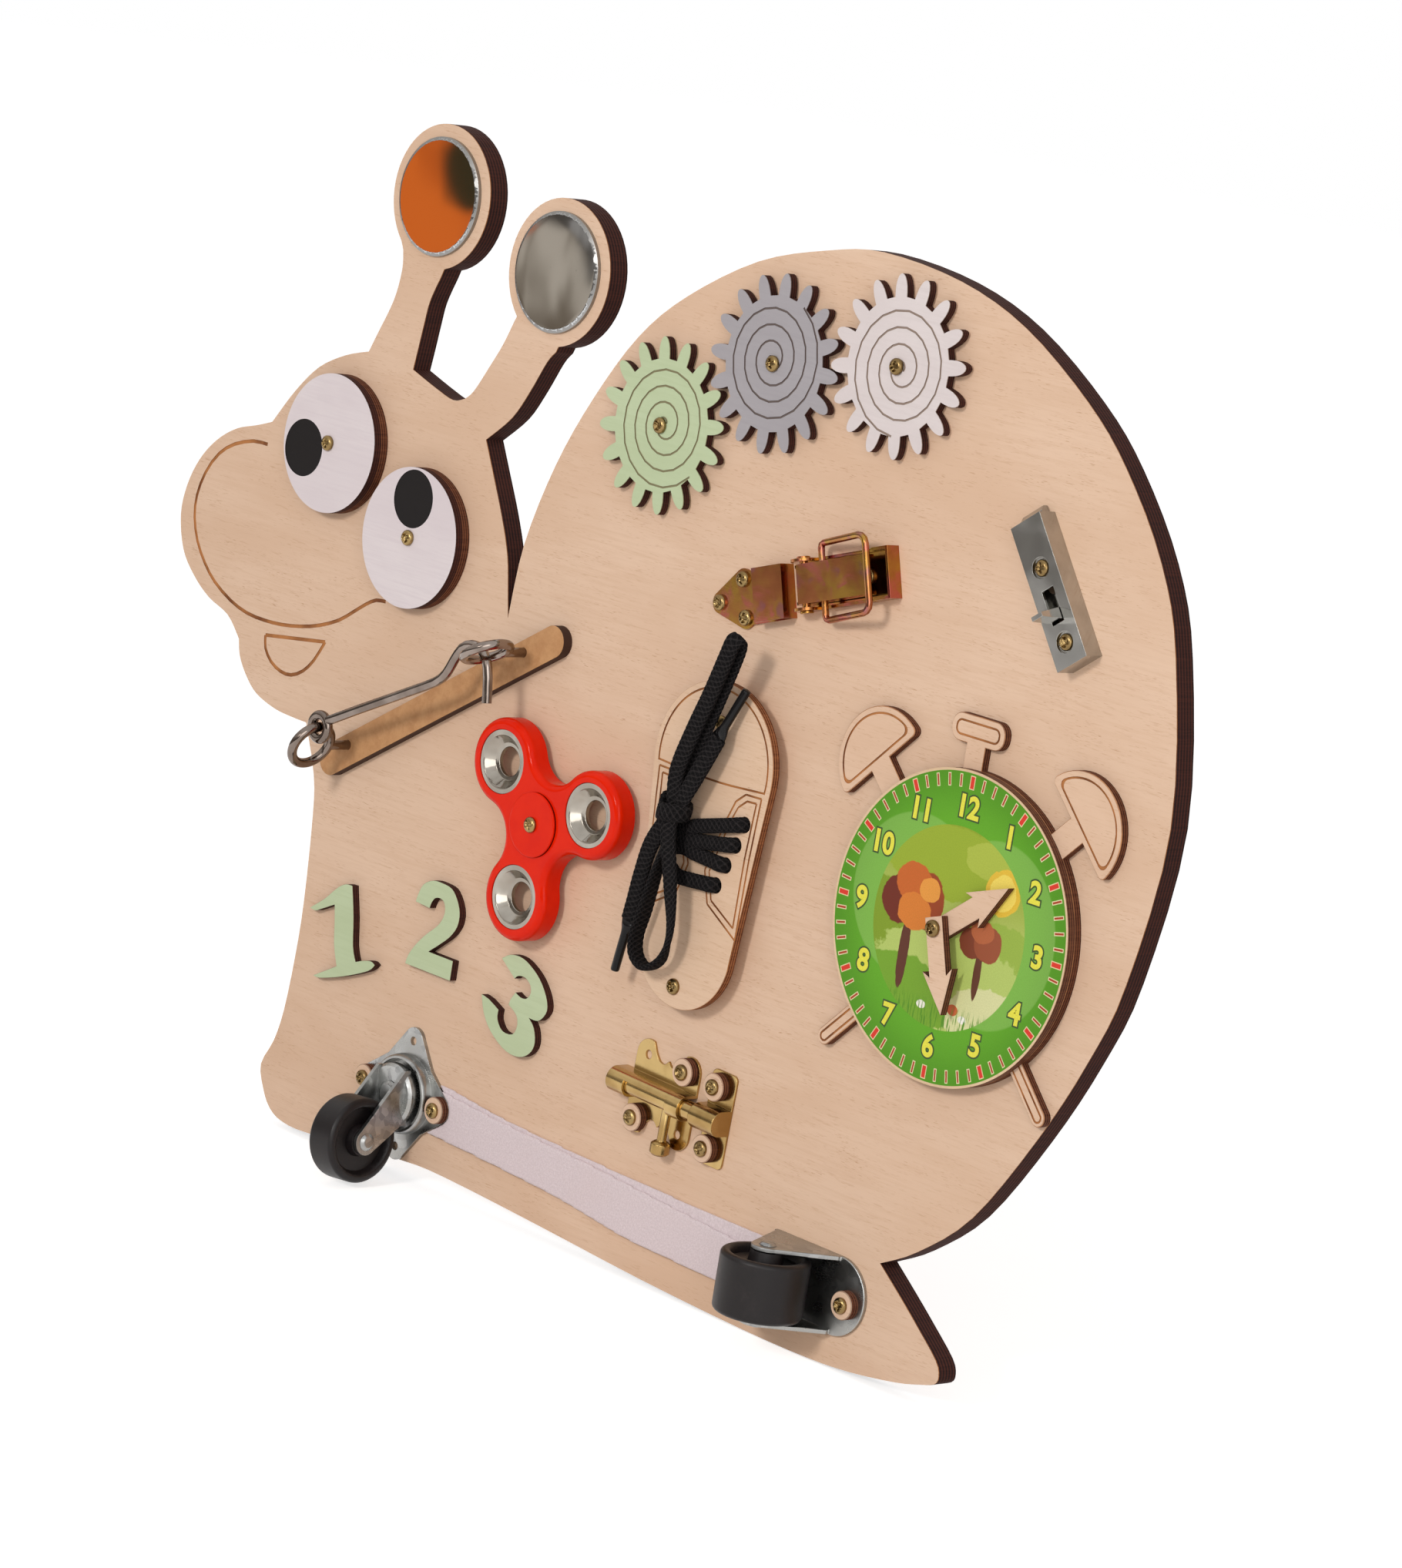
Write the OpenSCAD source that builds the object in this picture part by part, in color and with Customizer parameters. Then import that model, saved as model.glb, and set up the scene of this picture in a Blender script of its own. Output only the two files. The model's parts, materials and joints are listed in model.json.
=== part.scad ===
// Wooden busy board: a plywood snail with toys and door hardware on its front face.
// The back of the board lies in y = 0 and the front face looks along -Y.
// Toys are drawn on the face itself: X to the right, Y up the board, Z away from the face.

/* [Plywood] */
// Thickness of the snail board
board_t = 8; // [6:0.5:12]
// Thickness of the thin plywood toys
ply_t = 3; // [2:0.25:4]
// Depth of engraved lines
engrave = 0.3; // [0.2:0.05:0.5]
// Width of the line engraved on the board
mouth_line_w = 1.3; // [0.8:0.1:2]
// Width of the lines engraved on the toys
line_w = 0.7; // [0.4:0.1:1]
// Distance from a toy's edge to its engraved line
line_inset = 1.9; // [1.2:0.1:2.4]
// Radius of the disc at the tip of each antenna
antenna_r = 25; // [23:0.5:27]

/* [Screws] */
// Radius of every screw shank
shank_r = 1.5; // [1.2:0.1:1.7]
// Radius of a screw head
head_r = 2.7; // [2.4:0.1:3.2]
// Height of a screw head
head_h = 1.8; // [1.2:0.1:2.2]
// Depth of the pilot holes in the board
pilot_depth = 5; // [3:0.5:5.5]
// Radius of the plywood washers
washer_r = 4.7; // [4.2:0.1:5.2]
// Thickness of the plywood washers
washer_t = 3; // [2:0.25:3.5]
// Gap round a turning shank
shaft_gap = 0.05; // [0.02:0.01:0.1]
// Gap between faces that slide past each other
play = 0.25; // [0.15:0.05:0.4]

/* [Mirrors and eyes] */
// Radius of a mirror
mirror_r = 20.5; // [18:0.5:22]
// Thickness of a mirror
mirror_t = 2; // [1.5:0.1:3]
// Width of the mirror's bevel
mirror_bevel = 1.3; // [0.5:0.1:1.4]
// Radius of an eye
eye_r = 24.4; // [21:0.2:26]
// Radius of a pupil
pupil_r = 10.1; // [8:0.1:10.5]

/* [Gears] */
// Teeth on each gear
gear_teeth = 16; // [13:1:16]
// Radius at the foot of the teeth
gear_root_r = 22; // [20:0.5:22.5]
// Radius at the tip of the teeth
gear_tip_r = 29.3; // [28.2:0.1:29.5]
// Half width of a tooth
tooth_half_w = 2.5; // [2:0.1:2.6]
// Distance between meshed gears
gear_pitch = 55.1; // [54.8:0.1:57]
// Distance between turns of the engraved spiral
spiral_pitch = 5.3; // [4.5:0.1:6]
// Thickness of the washer under a gear
gear_washer_t = 0.6; // [0.4:0.1:1]
// Radius of the washer under a gear
gear_washer_r = 4; // [3:0.5:6]

/* [Clock] */
// Radius of the dial
dial_r = 50; // [46:0.5:52]
// Radius of a bell
bell_r = 18.5; // [16:0.5:20]
// Width of the knob
knob_w = 22.7; // [18:0.1:26]
// Height of the knob
knob_h = 9; // [7:0.5:11]
// Width of a foot
foot_w = 5.8; // [5.2:0.2:8]
// Length of the minute hand
minute_len = 31; // [28:0.5:40]
// Length of the hour hand
hour_len = 27; // [22:0.5:32]
// Width of a hand's shaft
hand_w = 7; // [6:0.5:8]

/* [Shoe] */
// Radius of the shoe's ball
ball_r = 27.5; // [25:0.5:29]
// Radius of the shoe's heel
heel_r = 21.5; // [20:0.5:24]
// Height of the spacers under the shoe
shoe_lift = 5; // [3:0.5:6]
// Radius of a lace hole
lace_hole_r = 2.6; // [2.4:0.1:3]
// Width of the flat lace
lace_w = 6.5; // [5:0.1:7]
// Thickness of the flat lace
lace_t = 2; // [1.5:0.1:2.2]
// Width of the lace where it dives into a hole
lace_neck_w = 3.8; // [3:0.1:4.2]
// Radius of an aglet
aglet_r = 1.5; // [1.2:0.1:1.8]
// Length of an aglet
aglet_len = 14; // [10:0.5:18]

/* [Hook] */
// Thickness of the hook bar
bar_t = 4; // [3:0.5:5]
// Width of the hook bar
bar_w = 11; // [10:0.5:14]
// Radius of the wire of the hook and the screw eyes
wire_r = 1.7; // [1.4:0.1:1.75]
// Radius of a screw eye's ring, to the middle of its wire
ring_r = 7.8; // [7.4:0.1:8.5]
// Length of a screw eye's neck above the bar
eye_neck = 7; // [5:0.5:10]
// Radius of the loop of the hook, to the middle of its wire
loop_r = 4.2; // [4:0.1:4.6]

/* [Spinner] */
// Distance from the spinner's centre to a weight
arm = 26.5; // [26:0.1:28]
// Radius of a lobe
lobe_r = 15; // [14:0.2:15.6]
// Thickness of the spinner's body
spinner_t = 7.5; // [7.2:0.1:9]
// Radius of the bearing and the weights
bearing_r = 11; // [11:0.1:12]
// Radius of the hole through a weight
weight_hole_r = 5; // [4:0.2:6]
// Thickness of the spacer behind the bearing
spinner_lift = 3; // [2:0.25:5]
// Thickness of the finger cap
cap_t = 1; // [1:0.1:2]

/* [Latch] */
// Length of the latch tray
tray_l = 43.3; // [42:0.5:48]
// Width of the latch tray
tray_w = 16.8; // [16:0.2:18]
// Height of the latch pin above the board
latch_pin_h = 4.6; // [4.4:0.1:5]
// Radius of the latch pin
latch_pin_r = 1.3; // [1:0.1:1.5]
// Length of the lever's plate
lever_l = 30; // [27:0.5:31]
// Width of the lever
lever_w = 12.8; // [12:0.2:13.2]
// Sheet thickness of the latch
sheet_t = 1; // [0.8:0.1:1.2]
// Radius of the bail's wire
bail_r = 1.1; // [0.9:0.1:1.2]
// Outer half width of the bail
bail_half_w = 13.5; // [12.5:0.5:15]

/* [Catch] */
// Length of the catch housing
housing_l = 48.4; // [46:0.2:54]
// Width of the catch housing
housing_w = 12.9; // [12.6:0.1:15]
// Height of the catch housing
housing_h = 7.3; // [7:0.1:9]
// How far the catch's bolt moves
catch_travel = 6; // [4:0.5:6]

/* [Bolt] */
// Radius of the bolt rod
rod_r = 3.2; // [2.8:0.1:3.3]
// Height of the rod's axis above the board
rod_h = 4.8; // [4.7:0.1:5.5]
// Sheet thickness of the bolt's plate
bolt_sheet = 1; // [0.8:0.1:1.2]
// Half length of the bolt's plate
bolt_half_l = 15.2; // [14.8:0.1:17]
// Half height of the bolt's plate
bolt_half_h = 16; // [15.6:0.1:18]
// Distance from the rod's axis to the end of the knob
knob_reach = 18.3; // [17:0.1:20]

/* [Casters] */
// Radius of the swivel caster's wheel
swivel_wheel_r = 14.8; // [13:0.1:15]
// Width of the swivel caster's wheel
swivel_wheel_w = 12; // [10:0.5:12.5]
// Distance from the kingpin to the axle
trail = 14.5; // [14:0.5:18]
// Height of the swivel caster's axle above the board
swivel_axle_h = 23.5; // [23.5:0.5:28]
// Sheet thickness of the casters
caster_sheet = 1.5; // [1.2:0.1:1.8]
// Radius of the fixed caster's wheel
fixed_wheel_r = 14.7; // [13:0.1:15]
// Width of the fixed caster's wheel
fixed_wheel_w = 20; // [16:0.5:21]
// Height of the fixed caster's axle above the board
fixed_axle_h = 18.2; // [17.5:0.1:22]
// Outer width of the fixed caster's bracket
bracket_w = 26; // [25.5:0.1:30]
// Radius of both axles
axle_r = 2; // [1.6:0.1:2.4]
// Thickness of each tape
tape_t = 1; // [0.8:0.1:1.4]

/* [Hidden] */
$fn = 64;

// Small overlap that makes cuts pass clean through a face
cut = 0.5;

// ---- Curves ----

function dir(a) = [cos(a), sin(a)];
function arc(c, r, a0, a1, n = 12) = [for (i = [0:n]) c + r * dir(a0 + (a1 - a0) * i / n)];
function catmull(a, b, c, d, t) =
    0.5 * (2 * b + (c - a) * t + (2 * a - 5 * b + 4 * c - d) * t * t + (3 * b - a - 3 * c + d) * t * t * t);
// A smooth curve through a list of points, with n steps between two points
function smooth(p, n = 4) = let (m = len(p) - 1)
    concat([for (i = [0:m - 1], j = [0:n - 1])
        catmull(p[max(i - 1, 0)], p[i], p[i + 1], p[min(i + 2, m)], j / n)], [p[m]]);
function rounded_rect(w, h, r) = let (x = w / 2 - r, y = h / 2 - r)
    concat(arc([x, y], r, 0, 90, 6), arc([-x, y], r, 90, 180, 6),
        arc([-x, -y], r, 180, 270, 6), arc([x, -y], r, 270, 360, 6));
// The four points where two circles' common outer tangents touch them
function tangents(c1, r1, c2, r2) =
    let (v = c2 - c1, a = atan2(v[1], v[0]), b = acos((r1 - r2) / norm(v)))
    [c1 + r1 * dir(a + b), c1 + r1 * dir(a - b), c2 + r2 * dir(a - b), c2 + r2 * dir(a + b)];
function side(p, i) = let (d = p[min(i + 1, len(p) - 1)] - p[max(i - 1, 0)]) [-d[1], d[0]] / norm(d);

module ribbon(p, w) polygon(concat(
    [for (i = [0:len(p) - 1]) p[i] + w / 2 * side(p, i)],
    [for (i = [len(p) - 1:-1:0]) p[i] - w / 2 * side(p, i)]));
module egg(p, r1, q, r2) {
    translate(p) circle(r1);
    translate(q) circle(r2);
    polygon(tangents(p, r1, q, r2));
}

// ---- Placing ----

// From the face's own axes to the part's axes
module on_face() translate([0, -board_t, 0]) rotate([90, 0, 0]) children();
module at(p, h = 0, a = 0) translate([p[0], p[1], h]) rotate([0, 0, a]) children();
module slab(h, t) translate([0, 0, h]) linear_extrude(t) children();
module bore(p, r, h0, h1) translate([p[0], p[1], h0]) cylinder(r = r, h = h1 - h0);
// Engraved line: cuts from just above height h down to the engraving's depth
module engraved(h) slab(h - engrave, engrave + cut) children();
function place(origin, a, p) = origin + p[0] * dir(a) + p[1] * dir(a + 90);

// ---- Sweeps ----

function unit(v) = v / norm(v);
function ring_at(c, t, across, hw, ht, sides) =
    let (w = unit(across - (across * t) * t), n = cross(t, w))
    [for (k = [0:sides - 1]) let (a = 360 * k / sides) c + hw * cos(a) * w + ht * sin(a) * n];
// Tube through rows of [centre, direction of its width, half width, half thickness]
module tube(rows, sides = 8) {
    m = len(rows) - 1;
    rings = [for (i = [0:m])
        ring_at(rows[i][0], unit(rows[min(i + 1, m)][0] - rows[max(i - 1, 0)][0]),
            rows[i][1], rows[i][2], rows[i][3], sides)];
    polyhedron([for (r = rings, p = r) p], concat(
        [[for (k = [0:sides - 1]) k]],
        [for (i = [0:m - 1], k = [0:sides - 1])
            [i * sides + k, (i + 1) * sides + k, (i + 1) * sides + (k + 1) % sides,
             i * sides + (k + 1) % sides]],
        [[for (k = [sides - 1:-1:0]) m * sides + k]]));
}
// Rows of a flat band from hand-chosen [point, direction of its width]
function band(route, hw, ht, n) =
    let (c = smooth([for (r = route) r[0]], n), w = smooth([for (r = route) r[1]], n))
    [for (i = [0:len(c) - 1]) [c[i], w[i], hw, ht]];

// ---- Board outline ----

antenna_left = [-127.3, 153.9];
antenna_right = [-62.9, 138.4];
tail_notch = [155, -142.3];
neck_floor = [-61.8, 19.9];
neck_top = [-86.3, 76.9];
shell_edge = [tail_notch, [170, -134], [190, -117], [210, -87], [225, -58], [235, -30],
    [241.5, 20], [232, 70], [220, 97], [200, 122], [180, 139], [150, 156.5], [120, 166],
    [85, 169.5], [60, 166], [30, 157.5], [0, 141], [-20, 124], [-37, 100], [-50, 75],
    [-59.3, 46.4], neck_floor];
neck_wall = [neck_floor, [-63.8, 28.4], [-66.8, 40.4], [-72.8, 53.4], [-80.8, 67.4], neck_top];
right_stalk_outer = [neck_top, [-75, 86.5], [-68, 97], [-62, 108], [-58.5, 112]];
right_stalk_inner = [[-81, 119], [-85, 110], [-90, 101.5], [-96, 92], [-100, 88.5]];
brow = [[-100, 88.5], [-106, 87], [-116, 89.5], [-128.7, 93.5]];
left_stalk_inner = [[-128.7, 93.5], [-127.5, 102], [-126.5, 110], [-125.2, 118], [-121.5, 127]];
left_stalk_outer = [[-143, 133], [-142, 126], [-144, 115], [-150, 102], [-153, 95.5]];
forehead = [[-153, 95.5], [-165, 92], [-178, 85.5], [-189, 75], [-199, 62]];
nose = [[-199, 62], [-207, 59.3], [-218, 56], [-228, 50], [-236, 41.5], [-241, 31],
    [-242.2, 20], [-238, 8], [-230, 0], [-220, -6], [-208, -10], [-200, -17]];
chin = [[-200, -17], [-198, -23], [-193, -29], [-186, -34], [-175, -37], [-165, -37.8], [-157, -38]];
throat = [[-157, -38], [-148.8, -55], [-146, -70], [-144, -100], [-144.3, -120], [-146, -140],
    [-149, -152], [-154, -162], [-151, -170], [-146, -176], [-138, -179], [-122, -179],
    [-74, -174.5], [-50, -174], [0, -176.5], [50, -179.5], [100, -181.3], [130, -181.3],
    [150, -180], [170, -177], [180, -174.5], [186, -172.5], [187.3, -169.5], [185, -165],
    [175, -157], [165, -149.5], tail_notch];
board_outline = concat(smooth(shell_edge), smooth(neck_wall), smooth(right_stalk_outer),
    arc(antenna_right, antenna_r, -78, 226, 48), smooth(right_stalk_inner), smooth(brow),
    smooth(left_stalk_inner), arc(antenna_left, antenna_r, -74, 226, 48),
    smooth(left_stalk_outer), smooth(forehead), smooth(nose), smooth(chin), smooth(throat, 3));
mouth = [[-199.7, 53.7], [-207.7, 53.4], [-217.7, 50.4], [-225.7, 45.4], [-231.7, 37.4],
    [-234.7, 28.4], [-234.2, 20.4], [-230.7, 12.4], [-224.7, 5.4], [-217.7, 0], [-207.7, -4.6],
    [-197.7, -7.1], [-187.7, -7.6], [-177.7, -7.1], [-167.7, -5.6], [-157.7, -3.1],
    [-147.7, 0.9], [-140.7, 5.4], [-134.7, 9.4], [-129.7, 11.9], [-124.7, 12.4]];
tongue = [[-185.7, -12.6], [-184.7, -17.1], [-180.7, -21.1], [-174.7, -23.4], [-168.7, -23.4],
    [-162.7, -20.6], [-157.7, -15.6], [-153.2, -8.1]];

// ---- Places of the toys ----

eye_left_at = [-159.7, 61.5];
eye_right_at = [-110.8, 37.7];
pupil_left_at = [-172.7, 57.5];
pupil_right_at = [-111.4, 51.2];
gear_grey_at = [48, 127];
green_dir = 211.7;
white_dir = 9.2;
gear_green_at = gear_grey_at + gear_pitch * dir(green_dir);
gear_white_at = gear_grey_at + gear_pitch * dir(white_dir);
dial_at = [165, -30];
ball_at = [54, -4];
heel_at = [54, -64];
shoe_toe_screw = [55, 10];
shoe_heel_screw = [52.5, -78.6];
bar_from = [-136.9, -46.7];
bar_to = [-34, 17.8];
ring_left_at = [-128.8, -39.6];
ring_right_at = [-47.4, 11.2];
ring_left_dir = 66.3;
ring_right_dir = 32;
spinner_at = [-22.4, -42.4];
latch_at = [78.7, 60.8];
latch_dir = 18.3;
catch_at = [183.6, 80.6];
catch_dir = -53.5;
bolt_at = [48.4, -116.7];
bolt_dir = -2;
swivel_at = [-75.4, -151];
swivel_dir = -2;
fixed_at = [122.8, -157.6];
fixed_screw = [145.6, -158.9];

// ---- Heights above the face ----

backing_h = play;
eye_h = backing_h + ply_t;
eye_top = eye_h + ply_t;
gear_h = gear_washer_t + play;
gear_top = gear_h + ply_t;
dial_top = 2 * ply_t;
minute_h = dial_top + play;
hour_h = minute_h + ply_t + play;
hands_top = hour_h + ply_t;
shoe_top = shoe_lift + ply_t;
bearing_w = 7;
spinner_top = spinner_lift + spinner_t;
cap_h = spinner_top + play;
cap_top = cap_h + cap_t;

// ---- Screws ----

latch_screws = [[13, 0], [25, 0]];
strike_mid = -0.8;
strike_screws = [[-42.5, strike_mid], [-31.2, strike_mid + 6.3], [-31.2, strike_mid - 6.3]];
catch_screws = [[-8, 0], [16.8, 0]];
bolt_holes = [[9.7, 10.8], [-9.7, 10.8], [-9.7, -10.8], [9.7, -10.8]];
keeper_holes = [[24.8, 10.5], [24.8, -10.5]];
swivel_hole_r = 19;
dimple_r = 4;
dimple_depth = 1.2;

function in_frame(origin, a, list) = [for (p = list) place(origin, a, p)];
latch_sites = in_frame(latch_at, latch_dir, latch_screws);
strike_sites = in_frame(latch_at, latch_dir, strike_screws);
catch_sites = in_frame(catch_at, catch_dir, catch_screws);
bolt_sites = in_frame(bolt_at, bolt_dir, [bolt_holes[0], bolt_holes[2], keeper_holes[0], keeper_holes[1]]);
swivel_sites = [for (a = [0, 180]) swivel_at + swivel_hole_r * dir(swivel_dir + a)];

// Each screw is [place, height under its head]
pivot_sites = [[eye_left_at, eye_top + play], [eye_right_at, eye_top + play],
    [gear_green_at, gear_top + play], [gear_grey_at, gear_top + play],
    [gear_white_at, gear_top + play], [dial_at, hands_top + play], [spinner_at, cap_top]];
washer_sites = concat([for (p = bolt_sites) [p, bolt_sheet]],
    [for (p = swivel_sites) [p, caster_sheet]], [[fixed_screw, caster_sheet]]);
fixing_sites = concat([[shoe_toe_screw, shoe_top], [shoe_heel_screw, shoe_top]],
    [for (p = latch_sites) [p, sheet_t]], [for (p = strike_sites) [p, sheet_t]],
    [for (p = catch_sites) [p, housing_h - dimple_depth]],
    [for (s = washer_sites) [s[0], s[1] + washer_t]]);

// A screw with a domed head and a cross recess, its head's underside at height h
module screw(h) {
    slot_l = 0.62 * head_r;
    slot_w = 0.22 * head_r;
    rim = 0.35 * head_h;
    translate([0, 0, -pilot_depth]) cylinder(r = shank_r, h = pilot_depth + h + cut);
    difference() {
        translate([0, 0, h]) rotate_extrude() polygon(concat([[0, 0], [head_r, 0]],
            [for (a = [0:15:75]) [head_r * cos(a), rim + (head_h - rim) * sin(a)]], [[0, head_h]]));
        for (a = [20, 110])
            translate([0, 0, h + head_h]) rotate([0, 0, a])
                cube([2 * slot_l, 2 * slot_w, head_h], center = true);
    }
}

// ---- Board and head ----

module board() color("burlywood") on_face() difference() {
    slab(-board_t, board_t) polygon(board_outline);
    engraved(0) ribbon(smooth(mouth, 2), mouth_line_w);
    engraved(0) ribbon(smooth(tongue, 2), mouth_line_w);
    engraved(0) ribbon([tongue[0], tongue[len(tongue) - 1]], mouth_line_w);
    for (s = concat(pivot_sites, fixing_sites)) bore(s[0], shank_r, -pilot_depth, cut);
    for (p = [ring_left_at, ring_right_at]) bore(p, wire_r, -pilot_depth, cut);
}

module mirror_disc(p) color("lightsteelblue") on_face() at(p) {
    cylinder(r = mirror_r, h = mirror_t - mirror_bevel / 2);
    translate([0, 0, mirror_t - mirror_bevel / 2])
        cylinder(r1 = mirror_r, r2 = mirror_r - mirror_bevel, h = mirror_bevel / 2);
}
module mirror_left() mirror_disc(antenna_left);
module mirror_right() mirror_disc(antenna_right);

module eye_disc(p, pupil) color("lavenderblush") on_face() difference() {
    bore(p, eye_r, eye_h, eye_top);
    bore(pupil, pupil_r, eye_top - engrave / 2, eye_top + cut);
    bore(p, shank_r + shaft_gap, 0, eye_top + cut);
}
module eye_backing(p) color("sienna") on_face() difference() {
    bore(p, eye_r, backing_h, eye_h);
    bore(p, shank_r + shaft_gap, 0, eye_h + cut);
}
module eye_left() eye_disc(eye_left_at, pupil_left_at);
module eye_left_backing() eye_backing(eye_left_at);
module eye_right() eye_disc(eye_right_at, pupil_right_at);
module eye_right_backing() eye_backing(eye_right_at);

// ---- Gears ----

tooth_foot = gear_root_r + 1.5;
tooth_outline = concat([[sqrt(pow(gear_root_r, 2) - pow(tooth_half_w, 2)), -tooth_half_w]],
    [for (i = [0:10]) let (t = -90 + 18 * i)
        [tooth_foot + (gear_tip_r - tooth_foot) * cos(t), tooth_half_w * sin(t)]],
    [[sqrt(pow(gear_root_r, 2) - pow(tooth_half_w, 2)), tooth_half_w]]);
gear_outline = [for (k = [0:gear_teeth - 1], p = tooth_outline)
    p[0] * dir(360 * k / gear_teeth) + p[1] * dir(360 * k / gear_teeth + 90)];
spiral_steps = 20;
spiral_turns = 3.8;
spiral_mid = [-1, 1.4];
spiral = [for (i = [0:spiral_steps * spiral_turns])
    spiral_mid + (gear_root_r - 0.8 - spiral_pitch * i / spiral_steps) * dir(60 - 360 * i / spiral_steps)];

module gear(p, phase) on_face() at(p, 0, phase) difference() {
    slab(gear_h, ply_t) polygon(gear_outline);
    engraved(gear_top) ribbon(spiral, line_w);
    bore([0, 0], shank_r + shaft_gap, 0, gear_top + cut);
}
// The angle of a gear's teeth that meshes it with the grey gear, their loose play to one side
grey_phase = 0.5;
mesh_play = 2.35;
function mesh_phase(a) = 2 * a + 180 - grey_phase + 180 / gear_teeth + mesh_play;
module gear_green() color("darkseagreen") gear(gear_green_at, mesh_phase(green_dir));
module gear_grey() color("slategray") gear(gear_grey_at, grey_phase);
module gear_white() color("lavenderblush") gear(gear_white_at, mesh_phase(white_dir));
module gear_washers() color("silver") on_face()
    for (p = [gear_green_at, gear_grey_at, gear_white_at]) difference() {
        bore(p, gear_washer_r, 0, gear_washer_t);
        bore(p, shank_r, -cut, gear_washer_t + cut);
    }

// ---- Hook ----

ring_h = bar_t + eye_neck + wire_r + ring_r;
hook_pivot = ring_left_at + ring_r * dir(ring_left_dir);
hook_line = [[-121.7, -29.3], [-108, -22.5], [-94, -15.8], [-80, -9], [-70, -4], [-65.5, 0],
    [-62.8, 5], [-59.5, 10], [-55, 12], [-50.5, 11.6], [-47, 8.5], [-45, 3], [-43.6, -5.5]];

module hook_bar() color("peru") on_face() difference() {
    slab(0, bar_t) egg(bar_from, bar_w / 2, bar_to, bar_w / 2);
    for (p = [ring_left_at, ring_right_at]) bore(p, wire_r, -cut, bar_t + cut);
}
module screw_eye(p, a) color("silver") on_face() {
    bore(p, wire_r, -pilot_depth, ring_h - ring_r);
    translate([p[0], p[1], ring_h]) rotate([90, 0, a])
        rotate_extrude() translate([ring_r, 0]) circle(wire_r);
}
module screw_eye_left() screw_eye(ring_left_at, ring_left_dir);
module screw_eye_right() screw_eye(ring_right_at, ring_right_dir);
module cabin_hook() color("gainsboro") on_face() {
    at(hook_pivot, ring_h) rotate_extrude() translate([loop_r, 0]) circle(wire_r);
    tube(band([for (p = hook_line) [[p[0], p[1], ring_h], [0, 0, 1]]], wire_r, wire_r, 2), 12);
}

// ---- Spinner ----

lobe_dirs = [20.2, 140.2, 260.2];
waist_r = 12;
waist_at = arm / 2 + sqrt(pow(lobe_r + waist_r, 2) - 0.75 * pow(arm, 2));
// Angle on a lobe, from its outward direction, where it runs into the waist
waist_turn = atan2(waist_at * sin(60), waist_at * cos(60) - arm);
waist_trim = 5;
spinner_outline = [for (a = lobe_dirs, p = concat(
    arc(arm * dir(a), lobe_r, a - waist_turn, a + waist_turn, 36),
    arc(waist_at * dir(a + 60), waist_r, a + 180 + waist_turn - waist_trim,
        a + 300 - waist_turn + waist_trim, 16))) p];
ball_r_bearing = 1.98;
ball_pitch_r = 7.75;
race_gap = 0.07;
bore_r = 4;

module spinner_body() color("orangered") on_face() at(spinner_at) difference() {
    slab(spinner_lift, spinner_t) polygon(spinner_outline);
    for (a = lobe_dirs) bore(arm * dir(a), bearing_r, 0, spinner_top + cut);
    bore([0, 0], bearing_r, 0, spinner_top + cut);
}
// Turned ring with a wide cone down to its hole
module spinner_weights() color("silver") on_face() at(spinner_at) for (a = lobe_dirs)
    at(arm * dir(a), spinner_lift) rotate_extrude() polygon([
        [weight_hole_r, 2.2], [weight_hole_r + 0.6, 1.8], [bearing_r - 1.8, 0], [bearing_r, 0],
        [bearing_r, spinner_t - 0.3], [bearing_r - 1.8, spinner_t - 0.3],
        [bearing_r - 2.2, spinner_t - 0.9], [weight_hole_r + 1.4, spinner_t - 3.4],
        [weight_hole_r, spinner_t - 3.7]]);
module race(r0, r1) rotate_extrude() difference() {
    translate([r0, 0]) square([r1 - r0, bearing_w]);
    translate([ball_pitch_r, bearing_w / 2]) circle(ball_r_bearing + race_gap);
}
module bearing_outer() color("silver") on_face() at(spinner_at, spinner_lift) race(9.1, bearing_r);
module bearing_inner() color("silver") on_face() at(spinner_at, spinner_lift) race(bore_r, 6.4);
module bearing_balls() color("gray") on_face() at(spinner_at, spinner_lift + bearing_w / 2)
    for (k = [0:6]) translate([ball_pitch_r * cos(360 * k / 7), ball_pitch_r * sin(360 * k / 7), 0])
        sphere(ball_r_bearing);
module spinner_spacer() color("gray") on_face() difference() {
    union() {
        bore(spinner_at, 6, 0, spinner_lift);
        bore(spinner_at, bore_r - shaft_gap, 0, spinner_lift + bearing_w);
    }
    bore(spinner_at, shank_r, -cut, spinner_top);
}
module spinner_cap() color("red") on_face() difference() {
    union() {
        bore(spinner_at, bearing_r, cap_h, cap_top);
        bore(spinner_at, 6, spinner_lift + bearing_w, cap_h + cap_t / 2);
    }
    bore(spinner_at, shank_r, 0, cap_top + cut);
}

// ---- Shoe and lace ----

// Lace holes on the right side, and their mirror images about the shoe's middle
lace_holes = [[18.5, -19.5], [16, -26.9], [13, -34.3], [10, -41.7]];
panel = [[10.2, -19.5], [13, -13], [17, -9.8], [24.2, -9.6], [23, -30], [22.5, -57], [7.5, -48.5],
    [4, -38]];
panel_inner = [[12.2, -19.3], [14.4, -14.7], [18, -11.8], [22.3, -11.6], [21, -30], [20.7, -53.3],
    [9, -47], [6, -38]];
toe_line = [[29, -7.6], [44, -8.6], [54, -8.8], [64, -8.6], [79, -7.6]];

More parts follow.
